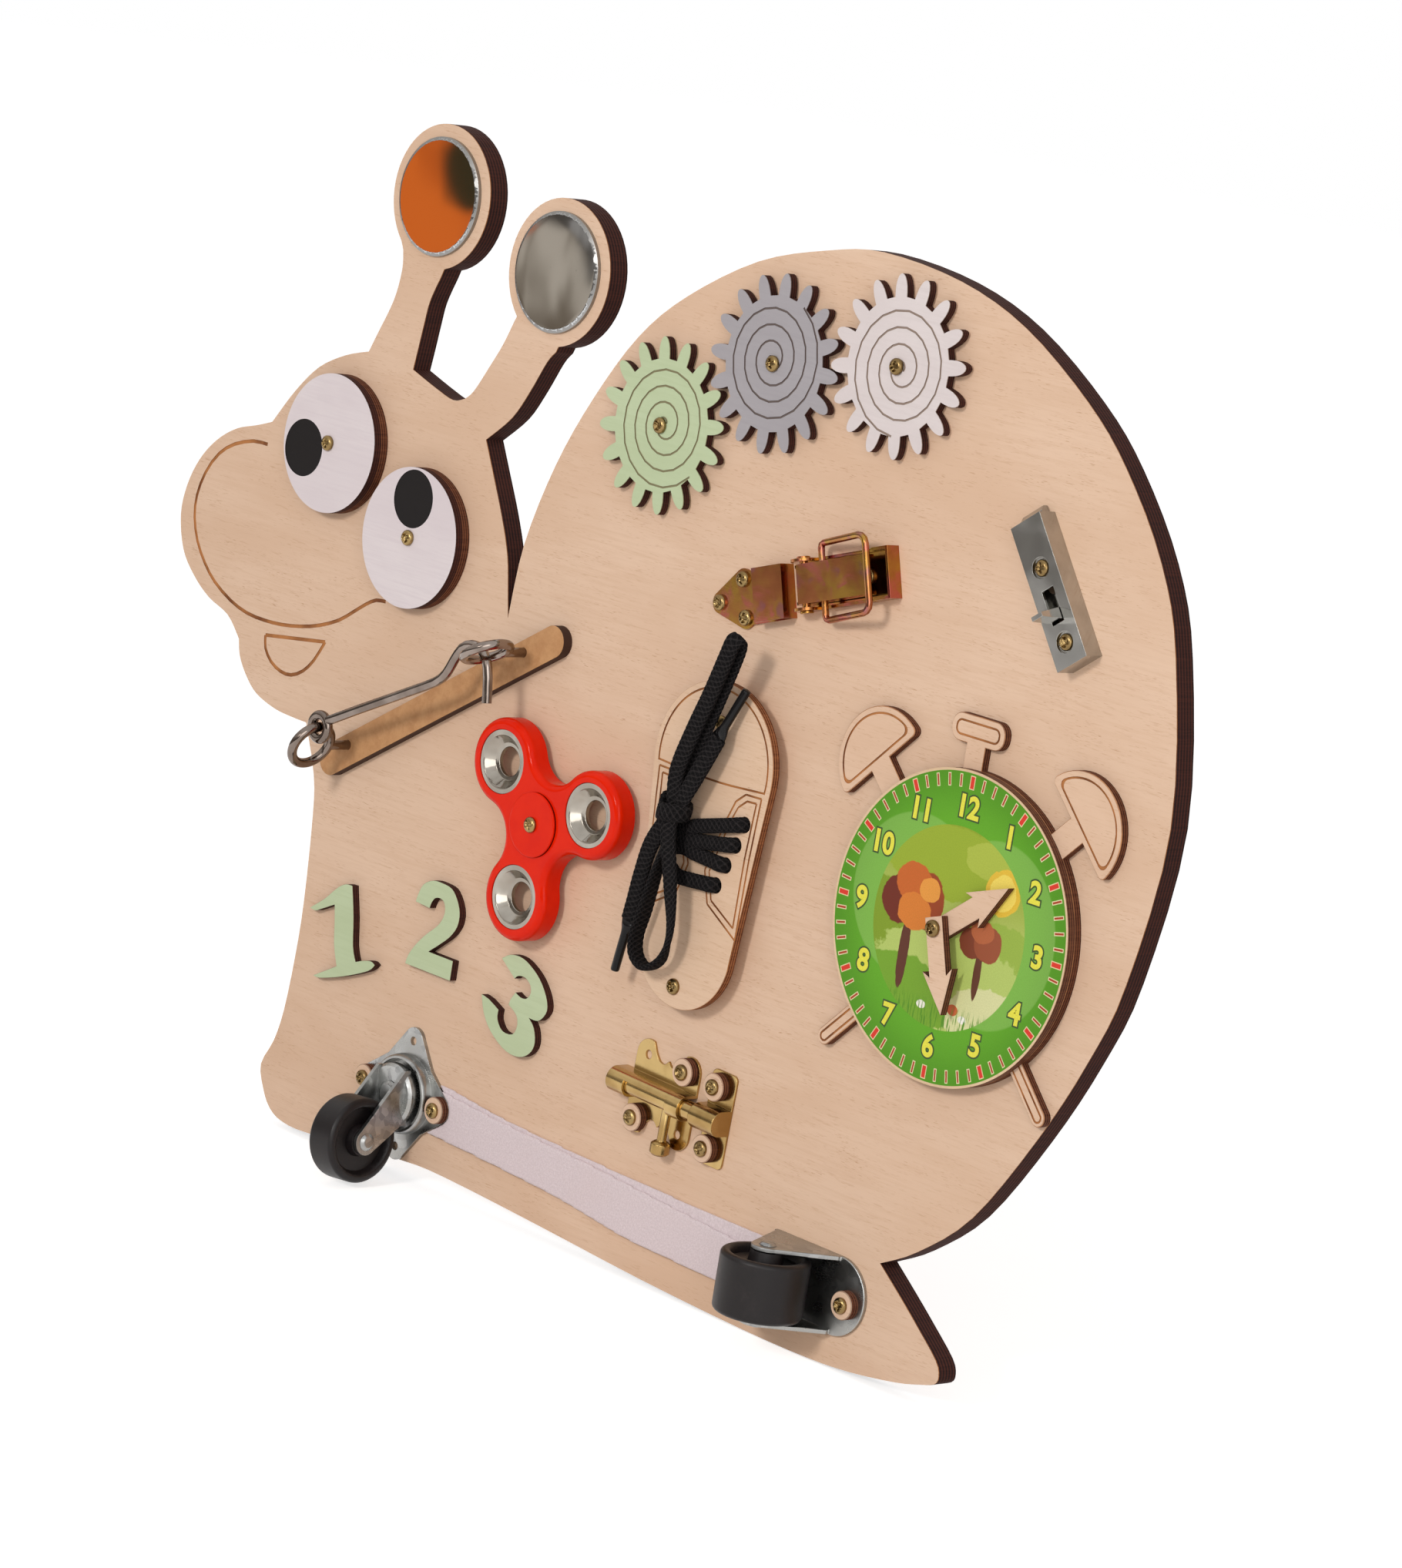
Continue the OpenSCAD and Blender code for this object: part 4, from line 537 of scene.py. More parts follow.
def group(name, inputs, outputs, build):
    """A shared effect: build gets the graph and its input sockets, and returns the outputs by name."""
    tree = bpy.data.node_groups.new(name, "ShaderNodeTree")
    for label, kind in inputs.items():
        tree.interface.new_socket(label, in_out="INPUT", socket_type=SOCKETS[kind])
    for label, kind in outputs.items():
        tree.interface.new_socket(label, in_out="OUTPUT", socket_type=SOCKETS[kind])
    graph = Graph(tree)
    source = tree.nodes.new("NodeGroupInput")
    target = tree.nodes.new("NodeGroupOutput")
    for label, socket in build(graph, source.outputs).items():
        tree.links.new(socket, target.inputs[label])
    return tree


def material(name, paint, **plain):
    """A material: paint gets the graph and returns what varies over the surface, by socket name."""
    made = bpy.data.materials.new(name)
    made.use_nodes = True
    graph = Graph(made.node_tree)
    shader = made.node_tree.nodes["Principled BSDF"]
    for key, value in {**plain, **paint(graph)}.items():
        graph.put(shader.inputs[key.replace("_", " ")], value)
    return made


# Burnt edges, dark and light: a thick board chars most, a thin sheet least
CHAR_THICK = (srgb(34, 17, 15), srgb(78, 41, 32))
CHAR_THIN = (srgb(58, 31, 23), srgb(122, 76, 53))
CHAR_SHOE = (srgb(84, 46, 29), srgb(166, 108, 70))
LINE_BROWN = srgb(182, 122, 72)
LINE_DARK = srgb(116, 68, 40)
PORE_BROWN = srgb(176, 128, 92)
PUPIL_BLACK = srgb(20, 15, 15)


def birch_grain(graph, given):
    """Birch veneer: soft clouds, long faint grain and short dark pores along X."""
    place = graph.place()
    cloud = graph.noise(graph.stretch(place, (9, 9, 26)), detail=3, roughness=0.6, distortion=0.6)
    grain = graph.noise(graph.stretch(place, (45, 200, 900)), detail=4, roughness=0.65)
    pores = graph.noise(graph.stretch(place, (330, 900, 3600)), detail=1)
    sparse = graph.noise(graph.stretch(place, (60, 60, 240)), detail=1)
    pore_mask = graph.times(graph.step(0.63, 0.72, pores), graph.step(0.35, 0.7, sparse))
    colour = graph.mix(graph.step(0.3, 0.75, cloud), given["Light"], given["Dark"])
    colour = graph.mix(graph.times(graph.step(0.4, 0.7, grain), 0.7), colour, given["Dark"])
    flecks = graph.noise(graph.stretch(place, (170, 300, 1500)), detail=2)
    colour = graph.mix(graph.times(graph.step(0.6, 0.74, flecks), 0.22), colour, given["Pore Color"])
    colour = graph.mix(graph.times(pore_mask, given["Pores"]), colour, given["Pore Color"])
    height = graph.minus(graph.times(grain, 0.4), pore_mask)
    return {"Color": colour, "Height": height}


veneer = group("birch_veneer",
               {"Light": "color", "Dark": "color", "Pore Color": "color", "Pores": "float"},
               {"Color": "color", "Height": "float"}, birch_grain)


def laser_cut(graph, given):
    """Burns a sheet's cut edges in layers, and the floors of its engraved lines."""
    place = graph.place()
    y = graph.split(place)[1]
    facing_y = graph.split(graph.facing())[1]
    edge = graph.invert(graph.step(0.58, 0.84, graph.math("ABSOLUTE", facing_y)))
    depth = graph.minus(y, given["Front"])
    layer = graph.math("SINE", graph.times(depth, given["Layers"]))
    streak = graph.noise(graph.stretch(place, (1500, 50, 1500)), detail=3, roughness=0.7)
    patch = graph.noise(graph.stretch(place, (60, 60, 60)), detail=2)
    layered = graph.plus(graph.times(layer, 0.3), graph.times(streak, 0.9))
    burnt = graph.mix(graph.step(0.2, 0.95, graph.plus(layered, graph.times(patch, 0.25))),
                      given["Char"], given["Char Shade"])
    cuts = graph.math("DIVIDE", depth, given["Cut"])
    under = graph.step(0.3, 0.6, cuts)
    above = graph.invert(graph.step(1.6, 2.2, cuts))
    shallow = graph.invert(graph.step(0.9, 1.2, cuts))
    front_side = graph.step(0.5, 0.8, graph.times(facing_y, -1))
    line = graph.times(graph.times(under, above), front_side)
    line_colour = graph.mix(graph.step(0.35, 0.7, graph.noise(graph.stretch(place, (90, 90, 90)), detail=3)),
                            given["Line"], given["Line Shade"])
    colour = graph.mix(line, given["Color"], line_colour)
    colour = graph.mix(edge, colour, graph.mix(shallow, burnt, line_colour))
    return {"Color": colour, "Edge": edge, "Height": graph.times(streak, edge)}


cutting = group("laser_cut_edge",
                {"Color": "color", "Line": "color", "Line Shade": "color", "Char": "color",
                 "Char Shade": "color", "Front": "float", "Cut": "float", "Layers": "float"},
                {"Color": "color", "Edge": "float", "Height": "float"}, laser_cut)

LAYERS_THICK = 2 * math.pi / 0.00133
LAYERS_THIN = 2 * math.pi / 0.001


def birch(name, top, cut=ENGRAVE, light=(221, 190, 164), dark=(212, 178, 150), layers=LAYERS_THIN,
          char=CHAR_THIN):
    def paint(graph):
        wood = graph.use(veneer, Light=srgb(*light), Dark=srgb(*dark), Pore_Color=PORE_BROWN, Pores=0.55)
        sheet = graph.use(cutting, Color=wood["Color"], Line=LINE_BROWN, Line_Shade=LINE_DARK,
                          Char=char[0], Char_Shade=char[1], Front=front(top), Cut=cut * MM, Layers=layers)
        relief = graph.plus(wood["Height"], graph.times(sheet["Height"], 6))
        return {"Base Color": sheet["Color"], "Roughness": graph.ramp(0.62, 0.8, sheet["Edge"]),
                "Normal": graph.bump(relief, 0.00004, 0.6)}
    return material(name, paint, Specular_IOR_Level=0.16)


def painted(name, top, colour, shade, cut=ENGRAVE, line=LINE_DARK):
    """Paint on plywood: the grain shows faintly, the cut edges are burnt."""
    def paint(graph):
        wood = graph.use(veneer, Light=srgb(*colour), Dark=srgb(*shade), Pore_Color=srgb(*shade), Pores=0.5)
        sheet = graph.use(cutting, Color=wood["Color"], Line=line, Line_Shade=line, Char=CHAR_THICK[0],
                          Char_Shade=CHAR_THICK[1], Front=front(top), Cut=cut * MM, Layers=LAYERS_THIN)
        relief = graph.plus(wood["Height"], graph.times(sheet["Height"], 6))
        return {"Base Color": sheet["Color"], "Roughness": graph.ramp(0.5, 0.8, sheet["Edge"]),
                "Normal": graph.bump(relief, 0.00003, 0.5)}
    return material(name, paint, Specular_IOR_Level=0.2)


def worn_metal(graph, given):
    """Plated metal: drifting tone, fine scratches and dull smudges."""
    place = graph.place()
    drift = graph.noise(place, scale=given["Drift"], detail=3, roughness=0.6)
    scratch = graph.noise(graph.stretch(place, (260, 2600, 5200), turn=(0.4, 0.7, 0.3)), detail=3,
                          roughness=0.7)
    smudge = graph.noise(place, scale=90, detail=1)
    colour = graph.mix(graph.step(0.35, 0.65, drift), given["Color"], given["Other Color"])
    rough = graph.plus(given["Roughness"], graph.times(graph.step(0.4, 0.8, smudge), 0.1))
    rough = graph.plus(rough, graph.times(graph.step(0.55, 0.75, scratch), given["Scratches"]))
    return {"Color": colour, "Roughness": rough, "Height": scratch}


plating = group("worn_plating",
                {"Color": "color", "Other Color": "color", "Roughness": "float", "Drift": "float",
                 "Scratches": "float"},
                {"Color": "color", "Roughness": "float", "Height": "float"}, worn_metal)


def metal(name, colour, other, roughness, drift=60, bump=0.25, scratches=0.1):
    def paint(graph):
        plate = graph.use(plating, Color=srgb(*colour), Other_Color=srgb(*other), Roughness=roughness,
                          Drift=drift, Scratches=scratches)
        return {"Base Color": plate["Color"], "Roughness": plate["Roughness"],
                "Normal": graph.bump(plate["Height"], 0.00001, bump)}
    return material(name, paint, Metallic=1)


def galvanised(graph):
    """Hot zinc: grey cells of differing tone under the plating's wear."""
    cells = graph.cells(graph.place(), 420)
    tone = graph.split(cells)[0]
    base = graph.mix(tone, srgb(140, 141, 141), srgb(184, 185, 184))
    plate = graph.use(plating, Color=base, Other_Color=srgb(160, 160, 157), Roughness=0.27, Drift=50.0,
                      Scratches=0.1)
    return {"Base Color": plate["Color"], "Roughness": plate["Roughness"],
            "Normal": graph.bump(plate["Height"], 0.00001, 0.3)}


def yellow_zinc(graph):
    """Iridescent yellow zinc: olive gold that runs into pink and violet."""
    place = graph.place()
    plate = graph.use(plating, Color=srgb(176, 136, 62), Other_Color=srgb(162, 100, 62), Roughness=0.15,
                      Drift=60.0, Scratches=0.06)
    pink = graph.noise(place, scale=70, detail=3, roughness=0.6, distortion=1.2)
    violet = graph.noise(graph.stretch(place, (1, 1, 1), move=(0.7, 0.2, 0.4)), scale=120, detail=2)
    colour = graph.mix(graph.step(0.5, 0.66, pink), plate["Color"], srgb(184, 104, 90))
    colour = graph.mix(graph.times(graph.step(0.56, 0.68, violet), 0.8), colour, srgb(152, 96, 100))
    return {"Base Color": colour, "Roughness": plate["Roughness"],
            "Normal": graph.bump(plate["Height"], 0.00001, 0.3)}


def lace_cloth(graph):
    """Black polyester braid: dull, with a painted highlight on the crowns of the strands and paler fibres at random.
    """
    place = graph.place()
    fibre = graph.noise(graph.stretch(place, (2600, 2600, 2600)), detail=2)
    lint = graph.noise(place, scale=500, detail=2)
    crown = graph.node("ShaderNodeAttribute", {}, attribute_name="crown").outputs["Fac"]
    # Painted highlight: the crowns of the strands are coloured paler, as where light catches them, and random pale
    # fibres are added to that.
    crown_highlight_and_fibre = graph.plus(graph.times(graph.step(0.5, 1.0, crown), 0.55),
                     graph.times(graph.step(0.45, 0.8, fibre), 0.6))
    colour = graph.mix(crown_highlight_and_fibre, srgb(9, 8, 9), srgb(50, 46, 46))
    colour = graph.mix(graph.times(graph.step(0.68, 0.8, lint), 0.3), colour, srgb(74, 70, 70))
    return {"Base Color": colour, "Roughness": graph.ramp(0.7, 0.95, fibre),
            "Normal": graph.bump(fibre, 0.00008, 0.8)}


def red_plastic(graph):
    """Moulded plastic: faint haze, small scuffs."""
    place = graph.place()
    haze = graph.noise(place, scale=130, detail=4, roughness=0.6)
    scuff = graph.noise(graph.stretch(place, (1800, 1800, 400), turn=(0, 0.6, 0)), detail=2)
    return {"Base Color": graph.mix(graph.step(0.3, 0.8, haze), srgb(225, 36, 4), srgb(217, 29, 3)),
            "Roughness": graph.plus(0.1, graph.times(graph.step(0.6, 0.8, scuff), 0.12)),
            "Normal": graph.bump(haze, 0.00005, 0.12)}


def black_wheel(graph):
    """Hard black plastic with faint turned rings, dust and scuffs."""
    place = graph.place()
    dust = graph.noise(place, scale=180, detail=5, roughness=0.7)
    scuff = graph.noise(graph.stretch(place, (900, 900, 2400), turn=(0.5, 0.2, 0.1)), detail=3, roughness=0.7)
    colour = graph.mix(graph.times(graph.step(0.5, 0.85, dust), 0.5), srgb(21, 16, 17), srgb(52, 45, 44))
    colour = graph.mix(graph.times(graph.step(0.68, 0.8, scuff), 0.5), colour, srgb(104, 92, 88))
    return {"Base Color": colour, "Roughness": graph.ramp(0.32, 0.55, dust),
            "Normal": graph.bump(scuff, 0.00004, 0.3)}


def tape_cloth(graph):
    """Woven nylon tape with a dense short pile."""
    place = graph.place()
    pile = graph.noise(graph.stretch(place, (1500, 1500, 1500)), detail=3, roughness=0.7)
    weave = graph.noise(graph.stretch(place, (260, 800, 2200)), detail=2)
    cloud = graph.noise(place, scale=30, detail=2)
    colour = graph.mix(graph.step(0.3, 0.8, pile), srgb(206, 190, 192), srgb(226, 212, 214))
    colour = graph.mix(graph.times(graph.step(0.4, 0.8, cloud), 0.3), colour, srgb(212, 192, 190))
    return {"Base Color": colour, "Roughness": graph.ramp(0.8, 0.95, pile),
            "Normal": graph.bump(graph.plus(pile, weave), 0.00012, 0.7)}


def mirror_acrylic(graph):
    """Mirror acrylic: a little wavy, so reflections run, with a frosted cut rim."""
    place = graph.place()
    wave = graph.noise(graph.stretch(place, (26, 26, 9), turn=(0, 0.3, 0)), detail=1, distortion=0.8)
    specks = graph.noise(place, scale=900, detail=1)
    rim = graph.invert(graph.step(0.93, 0.98, graph.math(
        "ABSOLUTE", graph.split(graph.facing())[1])))
    silver = graph.mix(graph.step(0.72, 0.8, specks), srgb(196, 198, 200), srgb(176, 178, 180))
    return {"Base Color": graph.mix(rim, silver, srgb(150, 149, 147)),
            "Roughness": graph.ramp(0.03, 0.34, rim),
            "Normal": graph.bump(wave, 0.00012, 0.4)}


def stained_board(graph):
    """Tan fibreboard: a mottled smooth face and dark cut edges."""
    place = graph.place()
    mottle = graph.noise(place, scale=160, detail=5, roughness=0.75)
    edge = graph.invert(graph.step(0.5, 0.8, graph.math(
        "ABSOLUTE", graph.split(graph.facing())[1])))
    face = graph.mix(graph.step(0.3, 0.75, mottle), srgb(194, 146, 100), srgb(174, 124, 80))
    return {"Base Color": graph.mix(edge, face, srgb(58, 34, 24)), "Roughness": graph.ramp(0.6, 0.75, mottle),
            "Normal": graph.bump(mottle, 0.00005, 0.5)}


# ---- Dial print ----

TICK_IN, TICK_OUT = 44.6, 48.2
PICTURE_R = 32.2
PRINT_R = 49.2
# Half the width of a printed edge's blur
PRINT_BLUR = 0.06
# Soft shapes of the picture, back to front: x, y, half width, half height, colour
SCENERY = [
    (-4, 20, 30, 12, (150, 170, 48)), (14, 24, 12, 6, (170, 184, 70)),
    (20, 16, 7.5, 7.5, (226, 186, 60)), (20, 16, 5.8, 5.8, (240, 214, 96)),
    (-30, -4, 26, 14, (126, 152, 38)), (22, -8, 24, 15, (150, 176, 70)),
    (4, -16, 34, 16, (178, 196, 104)), (-16, -24, 24, 12, (116, 160, 44)),
    (24, -26, 20, 12, (214, 214, 158)),
    (-17, -12, 2.2, 12, (92, 44, 34)), (-21.5, 4, 8.5, 8, (108, 34, 24)),
    (-12, 6, 9, 9.5, (150, 62, 28)), (-17, 10.5, 8, 6.5, (196, 98, 40)),
    (-15, 1.5, 7.5, 6, (212, 122, 48)), (-10, 9.5, 4.5, 4, (226, 150, 64)),
    (15, -11, 1.6, 9, (96, 52, 40)), (11, -2, 5.5, 5, (124, 58, 40)),
    (17.5, -1, 6, 6, (150, 76, 50)), (14.5, 2.5, 5, 4, (178, 96, 60)),
    (2, -22, 3, 2.2, (182, 66, 40)), (7.5, -24.5, 2.4, 1.8, (200, 92, 52)),
    (-6, -26, 2, 1.4, (240, 236, 220)), (12, -26.5, 1.8, 1.3, (244, 240, 228)),
]


def dial_print(graph):
    """The printed clock face: a green ring with minute ticks round a soft picture of trees and hills."""
    place = graph.place()
    x, _, z = graph.split(place)[:3]
    px = graph.minus(graph.math("DIVIDE", x, MM), DIAL_AT[0])
    pz = graph.minus(graph.math("DIVIDE", z, MM), DIAL_AT[1])

    def reach(cx, cz, rx=1, rz=1):
        dx = graph.math("DIVIDE", graph.minus(px, cx), rx)
        dz = graph.math("DIVIDE", graph.minus(pz, cz), rz)
        return graph.math("SQRT", graph.plus(graph.times(dx, dx), graph.times(dz, dz)))

    radius = reach(0, 0)
    wobble = graph.ramp(-0.16, 0.16, graph.noise(place, scale=260, detail=3, roughness=0.6))
    picture = graph.mix(graph.step(-20, 30, pz), srgb(196, 208, 120), srgb(140, 160, 40))
    for cx, cz, rx, rz, colour in SCENERY:
        rim = graph.plus(reach(cx, cz, rx, rz), wobble)
        picture = graph.mix(graph.invert(graph.step(0.95, 1.0, rim)), picture, srgb(*colour))
    blades = graph.noise(graph.stretch(place, (1400, 1, 160)), detail=1)
    tips = graph.plus(pz, graph.ramp(-4, 4, blades))
    grass = graph.times(graph.step(0.5, 0.6, blades), graph.invert(graph.step(-27, -21, tips)))
    picture = graph.mix(grass, picture, srgb(86, 140, 34))
    ring = graph.mix(graph.step(PICTURE_R, DIAL_R, radius), srgb(96, 164, 34), srgb(78, 142, 20))
    left_glow = graph.invert(graph.step(0.97, 1.0, reach(-16, 6, 27, 27)))
    right_glow = graph.invert(graph.step(0.97, 1.0, reach(18, 2, 27, 30)))
    ring = graph.mix(graph.times(graph.math("MAXIMUM", left_glow, right_glow), 0.35), ring,
                     srgb(160, 200, 110))
    turn = graph.math("DIVIDE", graph.math("ARCTAN2", px, pz), 2 * math.pi)

    def ticks(count, half_w, inner, outer):
        phase = graph.math("FRACT", graph.plus(graph.times(turn, count), 0.5 + count))
        near = graph.math("ABSOLUTE", graph.minus(phase, 0.5))
        across = graph.times(graph.math("DIVIDE", near, count), graph.times(radius, 2 * math.pi))
        in_width = graph.invert(graph.step(half_w - PRINT_BLUR, half_w + PRINT_BLUR, across))
        in_length = graph.times(graph.step(inner - PRINT_BLUR, inner + PRINT_BLUR, radius),
                                graph.invert(graph.step(outer - PRINT_BLUR, outer + PRINT_BLUR, radius)))
        return graph.times(in_width, in_length)

    ring = graph.mix(ticks(60, 0.62, TICK_IN - 0.3, TICK_OUT + 0.3), ring, srgb(226, 214, 168))
    ring = graph.mix(ticks(60, 0.33, TICK_IN, TICK_OUT), ring, srgb(168, 60, 36))
    ring = graph.mix(ticks(12, 1.05, TICK_IN - 0.5, TICK_OUT + 0.3), ring, srgb(230, 206, 160))
    ring = graph.mix(ticks(12, 0.75, TICK_IN - 0.2, TICK_OUT), ring, srgb(216, 52, 40))
    colour = graph.mix(graph.step(PICTURE_R - 0.15, PICTURE_R + 0.15, radius), picture, ring)
    grain = graph.noise(graph.stretch(place, (2500, 2500, 2500)), detail=2)
    colour = graph.mix(graph.times(graph.step(0.3, 0.7, grain), 0.12), colour, srgb(60, 90, 20))
    wood = graph.use(veneer, Light=srgb(224, 196, 160), Dark=srgb(212, 182, 146), Pore_Color=PORE_BROWN,
                     Pores=0.5)
    colour = graph.mix(graph.step(PRINT_R - 0.08, PRINT_R + 0.08, radius), colour, wood["Color"])
    sheet = graph.use(cutting, Color=colour, Line=LINE_DARK, Line_Shade=LINE_DARK, Char=CHAR_THIN[0],
                      Char_Shade=CHAR_THIN[1], Front=front(DIAL_TOP), Cut=NO_CUT * MM, Layers=LAYERS_THIN)
    return {"Base Color": sheet["Color"], "Roughness": graph.ramp(0.42, 0.52, grain),
            "Normal": graph.bump(wood["Height"], 0.00003, 0.4)}


def print_ink(name, colour, shade):
    def paint(graph):
        grain = graph.noise(graph.stretch(graph.place(), (2500, 2500, 2500)), detail=2)
        return {"Base Color": graph.mix(graph.step(0.3, 0.7, grain), srgb(*colour), srgb(*shade)),
                "Roughness": graph.ramp(0.42, 0.55, grain)}
    return material(name, paint)


# ---- Finishes of the CAD nodes ----

board_birch = birch("board_birch", 0, layers=LAYERS_THICK, char=CHAR_THICK)
finish = {
    "board": board_birch,
    "shoe_plate": birch("shoe_birch", SHOE_TOP, light=(222, 191, 163), dark=(212, 178, 148), char=CHAR_SHOE),
    "shoe_spacers": birch("spacer_birch", SHOE_TOP - PLY_T, char=CHAR_SHOE),
    "clock_plate": birch("clock_birch", PLY_T, light=(222, 190, 163), dark=(212, 177, 149)),
    "plywood_washers": birch("washer_birch", WASHER_TOP, cut=NO_CUT),
    "minute_hand": birch("minute_hand_birch", MINUTE_HAND_TOP, cut=NO_CUT),
    "hour_hand": birch("hour_hand_birch", HOUR_HAND_TOP, cut=NO_CUT),
    "eye_left_backing": birch("eye_backing_birch", EYE_BACKING_TOP, cut=NO_CUT),
    "eye_left": painted("eye_paint", EYE_TOP, (222, 212, 212), (212, 200, 202), cut=ENGRAVE / 2,
                        line=PUPIL_BLACK),
    "gear_green": painted("green_gear_paint", GEAR_TOP, (188, 201, 164), (180, 193, 154),
                          line=srgb(134, 128, 96)),
    "digit_one": painted("green_digit_paint", PLY_T, (188, 201, 164), (180, 193, 154), cut=NO_CUT),
    "gear_grey": painted("grey_gear_paint", GEAR_TOP, (167, 162, 165), (158, 153, 156),
                         line=srgb(104, 92, 88)),
    "gear_white": painted("white_gear_paint", GEAR_TOP, (217, 207, 205), (208, 197, 195),
                          line=srgb(148, 130, 118)),
    "clock_dial": material("dial_print", dial_print, Specular_IOR_Level=0.25),
    "hook_bar": material("tan_fibreboard", stained_board, Specular_IOR_Level=0.3),
    "mirror_left": material("mirror_acrylic", mirror_acrylic, Metallic=1),
    "spinner_body": material("red_plastic", red_plastic, Specular_IOR_Level=0.1),
    "spinner_weights": metal("turned_zinc", (174, 168, 158), (150, 143, 133), 0.13),
    "bearing_outer": metal("ground_steel", (190, 190, 192), (170, 170, 174), 0.18),
    "screw_eye_left": metal("nickel_plate", (150, 138, 130), (118, 106, 98), 0.08, scratches=0.03),
    "latch_base": material("yellow_zinc", yellow_zinc, Metallic=1),
    "catch_housing": metal("bright_zinc", (186, 185, 181), (168, 167, 163), 0.14, bump=0, scratches=0),
    "swivel_plate": material("galvanised_zinc", galvanised, Metallic=1),
    "bolt_plate": metal("brassed_steel", (192, 164, 110), (164, 134, 84), 0.17, bump=0.06),
    "pivot_screws": metal("zinc_screw", (156, 132, 88), (124, 102, 66), 0.24),
    "swivel_wheel": material("black_wheel", black_wheel, Specular_IOR_Level=0.32),
    "lace_upper": material("black_lace", lace_cloth, Specular_IOR_Level=0.1),
    "loop_tape": material("tape_cloth", tape_cloth, Sheen_Weight=0.3, Specular_IOR_Level=0.15),
}
same = {
    "eye_left_backing": ["eye_right_backing"], "eye_left": ["eye_right"],
    "digit_one": ["digit_two", "digit_three"], "mirror_left": ["mirror_right"],
    "spinner_body": ["spinner_cap"],
    "bearing_outer": ["bearing_inner", "bearing_balls", "spinner_spacer", "catch_spring"],
    "screw_eye_left": ["screw_eye_right", "cabin_hook"],
    "latch_base": ["latch_lever", "latch_bail", "latch_pin", "latch_strike"],
    "catch_housing": ["catch_bolt", "gear_washers"],
    "swivel_plate": ["swivel_fork", "swivel_axle", "fixed_bracket", "fixed_axle"],
    "bolt_plate": ["bolt_rod", "bolt_knob", "bolt_keeper"],
    "pivot_screws": ["fixing_screws"], "swivel_wheel": ["fixed_wheel"],
    "lace_upper": ["lace_lower", "lace_crossings", "lace_knot", "lace_aglets"],
    "loop_tape": ["hook_tape"],
}
for first, others in same.items():
    for node in others:
        finish[node] = finish[first]


def dress(made, surface):
    made.data.materials.clear()
    made.data.materials.append(surface)


for node, surface in finish.items():
    dress(frame["nodes"][node], surface)
aglet_film = material("aglet_film", lambda graph: {
    "Base Color": graph.mix(graph.noise(graph.place(), scale=600, detail=3),
                            srgb(10, 9, 10), srgb(22, 20, 21)),
    "Roughness": graph.ramp(0.1, 0.3, graph.noise(graph.place(), scale=900, detail=2))},
    Specular_IOR_Level=0.2)
for made in (upper_lace, lower_lace, knot, *crossings):
    dress(made, finish["lace_upper"])
for made in (upper_aglet, lower_aglet):
    dress(made, aglet_film)

# ---- Softened copies of the moulded, turned and pressed parts ----

slots = {row["node"]: row["material_slot"] for row in frame["record"]["subparts"]}
bodies = {node: body for body, nodes in frame["record"]["behaviour"]["bodies"].items() for node in nodes}


# The bores of the spinner, whose own edges stay sharp: one in the middle and one in each lobe
LOBE_REACH = 26.5
SPINNER_BORES = [(0, 0)] + [(LOBE_REACH * math.cos(math.radians(a)), LOBE_REACH * math.sin(math.radians(a)))
                            for a in (20.2, 140.2, 260.2)]
BORE_R = 11.4
# A wall lower than this is the side of an engraved line
WALL_MIN = 1


def outer_rim(mesh, bores):
    """The edges where the front face meets a wall deeper than an engraved line, off the bores."""
    for edge in mesh.edges:
        faces = sorted(edge.link_faces, key=lambda face: face.normal.y)
        if len(faces) != 2 or faces[0].normal.y > -0.99 or abs(faces[1].normal.y) > 0.1:
            continue
        heights = [point.co.y for point in faces[1].verts]
        middle = (edge.verts[0].co + edge.verts[1].co) / (2 * MM)
        if max(heights) - min(heights) > WALL_MIN * MM and all(
                math.hypot(middle.x - x, middle.z - z) > BORE_R for x, z in bores):
            yield edge


def soften(node, width, segments=2, rim=(), bores=()):
    """A copy of a CAD solid with its edges broken, in the place of the solid."""
    mesh = bmesh.new()
    mesh.from_mesh(frame["nodes"][node].data)
    bmesh.ops.remove_doubles(mesh, verts=mesh.verts, dist=WELD)
    bmesh.ops.dissolve_limit(mesh, angle_limit=math.radians(0.6), verts=mesh.verts, edges=mesh.edges)
    if rim:
        mesh.normal_update()
        bmesh.ops.bevel(mesh, geom=list(outer_rim(mesh, bores)), offset=rim[0] * MM, segments=rim[1],
                        profile=0.5, affect="EDGES", material=-1, clamp_overlap=True)
    copy = piece(node + "_finished", mesh)
    copy.data.set_sharp_from_angle(angle=math.radians(SHARP_ANGLE))
    if width:
        bevel = copy.modifiers.new("broken_edges", "BEVEL")
        bevel.width = width * MM
        bevel.segments = segments
        bevel.limit_method = "ANGLE"
        bevel.angle_limit = math.radians(SHARP_ANGLE)
        bevel.material = -1
    flat = copy.modifiers.new("flat_faces", "WEIGHTED_NORMAL")
    flat.weight = 100
    flat.keep_sharp = True
    dress(copy, finish[node])
    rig.ride(copy, bodies[node])
    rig.replaces(copy, node)
    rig.slot(copy, slots[node])
    return copy


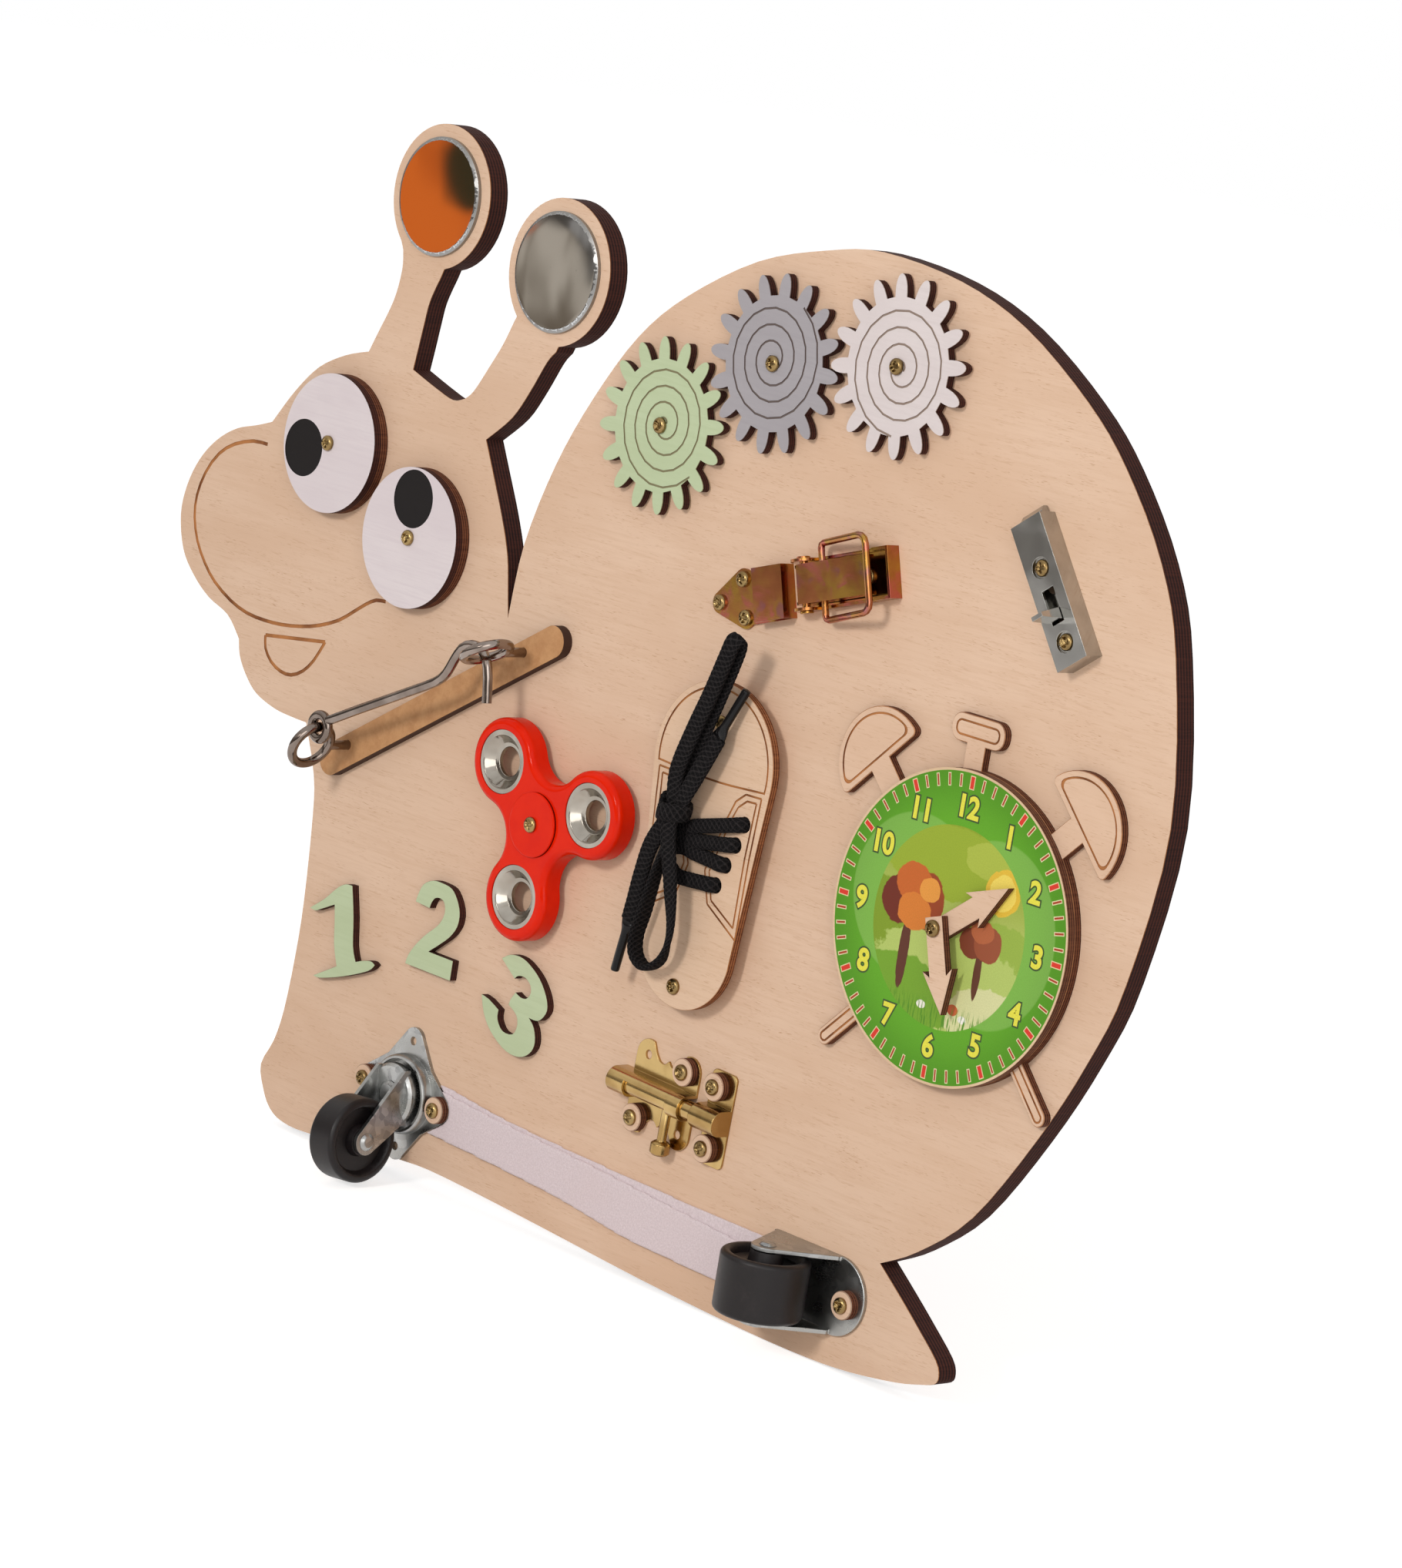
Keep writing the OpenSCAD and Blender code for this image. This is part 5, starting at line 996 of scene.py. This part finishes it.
# Width of each piece's broken edges and the steps across them; 0 leaves them as they are
BROKEN_EDGES = {
    "spinner_cap": (0.5, 3), "spinner_weights": (0.2, 2),
    "catch_housing": (0.5, 3), "catch_bolt": (0.15, 2), "latch_lever": (0.35, 2), "latch_base": (0.25, 2),
    "latch_strike": (0.3, 2), "latch_bail": (0, 0), "latch_pin": (0.15, 2), "bolt_plate": (0.2, 2),
    "bolt_rod": (0.2, 2), "bolt_knob": (0, 0), "bolt_keeper": (0.2, 2), "swivel_plate": (0.25, 2),
    "swivel_fork": (0.3, 2), "swivel_axle": (0.25, 2), "swivel_wheel": (0, 0), "fixed_bracket": (0.3, 2),
    "fixed_axle": (0.25, 2), "fixed_wheel": (0, 0), "cabin_hook": (0, 0), "screw_eye_left": (0, 0),
    "screw_eye_right": (0, 0), "pivot_screws": (0, 0), "fixing_screws": (0, 0),
    "mirror_left": (0, 0), "mirror_right": (0, 0), "digit_one": (0.12, 2), "digit_two": (0.12, 2),
    "digit_three": (0.12, 2), "hook_bar": (0.2, 2), "bearing_outer": (0.15, 2), "bearing_inner": (0.15, 2),
}
finished = {node: soften(node, *edge) for node, edge in BROKEN_EDGES.items()}
finished["spinner_body"] = soften("spinner_body", 0, rim=(2.4, 5), bores=[
    (SPINNER_AT[0] + x, SPINNER_AT[1] + y) for x, y in SPINNER_BORES])
# The laser singes a thin line round the face of each birch piece
for node in ("clock_plate", "shoe_plate", "minute_hand", "hour_hand", "plywood_washers"):
    finished[node] = soften(node, 0, rim=(0.3, 1))

# ---- Cloth tapes ----

CLOTH_STEP = 0.0006
CLOTH_RIPPLE = 0.00009
CLOTH_WAVE = 140


def settled(made):
    """Applies the piece's modifiers to its mesh."""
    shape = bpy.data.meshes.new_from_object(made.evaluated_get(bpy.context.evaluated_depsgraph_get()))
    made.modifiers.clear()
    made.data = shape


def tape(node, area, below):
    """A strip of woven tape: the solid's outline with soft sides and a slightly uneven face."""
    mesh = bmesh.new()
    mesh.from_mesh(frame["nodes"][node].data)
    bmesh.ops.remove_doubles(mesh, verts=mesh.verts, dist=WELD)
    strip = piece(node + "_cloth", mesh)
    remesh = strip.modifiers.new("cloth_steps", "REMESH")
    remesh.mode = "VOXEL"
    remesh.voxel_size = CLOTH_STEP
    smooth = strip.modifiers.new("soft_sides", "SMOOTH")
    smooth.iterations = 2
    settled(strip)
    for point in strip.data.vertices:
        point.co.y += CLOTH_RIPPLE * noise.noise(point.co * CLOTH_WAVE)
        point.co.z += CLOTH_RIPPLE * noise.noise(point.co * (3 * CLOTH_WAVE))
    for face in strip.data.polygons:
        face.use_smooth = True
    dress(strip, finish[node])
    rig.ride(strip, bodies[node])
    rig.replaces(strip, node)
    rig.slot(strip, slots[node])
    low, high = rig.box(node)
    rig.sheet(strip, flat=(high[2] - low[2], high[0] - low[0]), held="laid", rests_on=below, area=area)
    return strip


loop_cloth = tape("loop_tape", 0.00283, ["board"])
tape("hook_tape", 0.00267, [loop_cloth])

# ---- Cross recesses of the screws ----

RECESS_REACH = 1.75
RECESS_W = 0.75
RECESS_DEPTH = 1.1
# Each cross is turned on from the last by this many degrees
RECESS_TURN = 37


def islands(mesh):
    """The separate bodies in a bmesh, as lists of vertices."""
    left, found = set(mesh.verts), []
    while left:
        body, edge = [], [left.pop()]
        while edge:
            point = edge.pop()
            body.append(point)
            for link in point.link_edges:
                other = link.other_vert(point)
                if other in left:
                    left.remove(other)
                    edge.append(other)
        found.append(body)
    return found


def cross_recess(screws):
    """Cuts a driver's cross into the head of each screw in the piece."""
    mesh = bmesh.new()
    mesh.from_mesh(screws.data)
    cutters = bmesh.new()
    for k, body in enumerate(sorted(islands(mesh), key=lambda points: min(p.co.x for p in points))):
        xs, ys, zs = zip(*(p.co for p in body))
        middle = Vector(((max(xs) + min(xs)) / 2, min(ys), (max(zs) + min(zs)) / 2))
        for quarter in (0, 90):
            slot = bmesh.ops.create_cube(cutters, size=1)["verts"]
            bmesh.ops.scale(cutters, verts=slot,
                            vec=Vector((2 * RECESS_REACH, 2 * RECESS_DEPTH, RECESS_W)) * MM)
            bmesh.ops.rotate(cutters, verts=slot, cent=(0, 0, 0),
                             matrix=Matrix.Rotation(math.radians(quarter + RECESS_TURN * k), 3, "Y"))
            bmesh.ops.translate(cutters, verts=slot, vec=middle)
    mesh.free()
    tool = piece("recess_tool", cutters, smooth=False)
    cut = screws.modifiers.new("cross", "BOOLEAN")
    cut.object = tool
    cut.operation = "DIFFERENCE"
    cut.solver = "EXACT"
    cut.use_self = True
    settled(screws)
    bpy.data.objects.remove(tool)
    screws.data.set_sharp_from_angle(angle=math.radians(SHARP_ANGLE))


for node in ("pivot_screws", "fixing_screws"):
    cross_recess(finished[node])

# ---- Numerals on the dial ----

numeral_ink = print_ink("numeral_ink", (226, 220, 66), (214, 208, 56))
outline_ink = print_ink("outline_ink", (44, 76, 12), (36, 64, 10))


def numeral(text, x, y, name, ink, grow, lift):
    """A printed numeral: flat letter mesh, a hair in front of the dial."""
    curve = bpy.data.curves.new(name, "FONT")
    curve.body = text
    curve.size = NUMERAL_SIZE
    curve.align_x = "CENTER"
    curve.align_y = "CENTER"
    curve.offset = grow
    curve.extrude = 0.01
    curve.resolution_u = 6
    source = bpy.data.objects.new(name + "_source", curve)
    bpy.context.scene.collection.objects.link(source)
    mesh = bmesh.new()
    flat = source.to_mesh()
    mesh.from_mesh(flat)
    bpy.data.objects.remove(source)
    bmesh.ops.remove_doubles(mesh, verts=mesh.verts, dist=0.001)
    bmesh.ops.rotate(mesh, verts=mesh.verts, cent=(0, 0, 0), matrix=Matrix.Rotation(math.radians(90), 3, "X"))
    bmesh.ops.translate(mesh, verts=mesh.verts, vec=(x, -(BOARD_T + DIAL_TOP + lift), y))
    bmesh.ops.scale(mesh, verts=mesh.verts, vec=(MM, MM, MM))
    made = piece(name, mesh, smooth=False)
    dress(made, ink)
    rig.ride(made, "board")
    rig.slot(made, "dial_print")
    return made


NUMERAL_R = 38.3
NUMERAL_SIZE = 9.8
for hour in range(1, 13):
    turn = math.radians(30 * hour)
    x = DIAL_AT[0] + NUMERAL_R * math.sin(turn)
    y = DIAL_AT[1] + NUMERAL_R * math.cos(turn)
    numeral(str(hour), x, y, "numeral_%d_outline" % hour, outline_ink, 0.86, 0.03)
    numeral(str(hour), x, y, "numeral_%d" % hour, numeral_ink, 0.32, 0.06)

# ---- Floor, room and light ----

FLOOR_Z = cad_box[0][2]
# The floor lies this far under the part
FLOOR_DROP = 0.0002
FLOOR_GLOW = 0.66


def seen_plainly(graph):
    """1 for the camera, and for what gloss and glass show; 0 for the light that the object gets."""
    shine = graph.node("ShaderNodeLightPath", {}).outputs
    return graph.math("MAXIMUM", shine["Is Camera Ray"], graph.math(
        "MAXIMUM", shine["Is Glossy Ray"], shine["Is Transmission Ray"]))


def floor_surface(graph):
    """Pale floor that reads white and keeps the object's shadow."""
    speck = graph.noise(graph.place(), scale=40, detail=2)
    return {"Base Color": graph.mix(speck, srgb(222, 219, 216), srgb(225, 222, 219)),
            "Emission Color": (1, 1, 1, 1),
            "Emission Strength": graph.times(seen_plainly(graph), FLOOR_GLOW)}


floor_mesh = bmesh.new()
bmesh.ops.create_grid(floor_mesh, x_segments=1, y_segments=1, size=6)
bmesh.ops.translate(floor_mesh, verts=floor_mesh.verts, vec=(0, 0, FLOOR_Z - FLOOR_DROP))
floor = piece("floor", floor_mesh, smooth=False)
dress(floor, material("pale_floor", floor_surface, Roughness=0.9, Specular_IOR_Level=0.1))
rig.stage(floor)

world = bpy.data.worlds.new("room")
bpy.context.scene.world = world
world.use_nodes = True
room = Graph(world.node_tree)
shell = world.node_tree.nodes["Background"]
room.put(shell.inputs["Color"], room.mix(seen_plainly(room), srgb(184, 184, 186), (1, 1, 1, 1)))
room.put(shell.inputs["Strength"], 1.0)

WALL_R = 1.6
WALL_TOP = 1.4
WALL_LEAD = 30
WALL_SPAN = 150
# Where the two mirrors meet the wall: run along it and height, in metres, and the sizes of what is there
LEFT_PATCH = (-3.937, 0.048)
RIGHT_PATCH = (-3.876, -0.005)
DARK_PATCH = (LEFT_PATCH[0] + 0.022, LEFT_PATCH[1] + 0.026)
WARM_R = 0.05
DARK_R = 0.031
LINEN_R = 0.046


def wall_surface(graph):
    """A dim curved card that only gloss shows: the dark side of the metal, and what the mirrors show."""
    x, y, z = graph.split(graph.place())[:3]
    run = graph.times(graph.math("ARCTAN2", y, x), WALL_R)
    ripple = graph.noise(graph.node("ShaderNodeCombineXYZ", {0: run, 1: z}).outputs[0], scale=11, detail=3,
                         distortion=0.4)
    fold = graph.noise(graph.node("ShaderNodeCombineXYZ", {0: graph.times(run, 3), 1: z}).outputs[0],
                       scale=14, detail=2)

    def near(centre, size):
        off = graph.math("SQRT", graph.plus(graph.math(
            "POWER", graph.minus(run, centre[0]), 2), graph.math(
            "POWER", graph.minus(z, centre[1]), 2)))
        off = graph.plus(off, graph.ramp(-0.02, 0.02, ripple))
        return graph.invert(graph.step(size - 0.004, size + 0.004, off))

    tone = graph.mix(graph.step(0.05, 0.7, z), srgb(82, 76, 70), srgb(240, 236, 232))
    tone = graph.mix(graph.times(graph.step(0.45, 0.6, fold), 0.5), tone, srgb(226, 220, 214))
    linen = graph.mix(graph.step(0.35, 0.65, fold), srgb(207, 194, 177), srgb(122, 108, 92))
    warm = graph.mix(graph.step(0.35, 0.65, ripple), srgb(255, 124, 48), srgb(178, 70, 25))
    tone = graph.mix(near(LEFT_PATCH, WARM_R), tone, warm)
    tone = graph.mix(near(DARK_PATCH, DARK_R), tone, srgb(70, 60, 39))
    tone = graph.mix(near(RIGHT_PATCH, LINEN_R), tone, linen)
    return {"Base Color": (0, 0, 0, 1), "Emission Color": tone}


wall_mesh = bmesh.new()
start = Matrix.Rotation(math.radians(-WALL_LEAD), 3, "Z")
ends = [wall_mesh.verts.new(start @ Vector((-WALL_R, 0, height))) for height in (FLOOR_Z, WALL_TOP)]
bmesh.ops.spin(wall_mesh, geom=[*ends, wall_mesh.edges.new(ends)], cent=(0, 0, 0), axis=(0, 0, 1),
               angle=math.radians(WALL_SPAN), steps=64)
wall = piece("dim_wall", wall_mesh)
dress(wall, material("dim_card", wall_surface, Emission_Strength=1, Specular_IOR_Level=0))
wall.visible_camera = False
wall.visible_diffuse = False
wall.visible_transmission = False
wall.visible_shadow = False
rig.stage(wall)

LAMP_COLOUR = (1, 0.985, 0.97)


def lamp(name, where, size, power):
    """A round lamp that faces the part."""
    light = bpy.data.lights.new(name, "AREA")
    light.shape = "DISK"
    light.size = size
    light.energy = power
    light.color = LAMP_COLOUR
    made = bpy.data.objects.new(name, light)
    bpy.context.scene.collection.objects.link(made)
    made.matrix_world = Matrix.Translation(where) @ (
        -Vector(where)).to_track_quat("-Z", "Y").to_matrix().to_4x4()


lamp("key", (0.35, -1.95, 0.8), 0.4, 18)
lamp("fill", (1.5, -1.3, 0.5), 1.2, 8)

bpy.context.scene.view_settings.view_transform = "Standard"

visual_box = [list(corner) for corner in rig.bounds()]
with open("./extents.json", "w") as report:
    json.dump({"cad": cad_box, "visual": visual_box}, report)
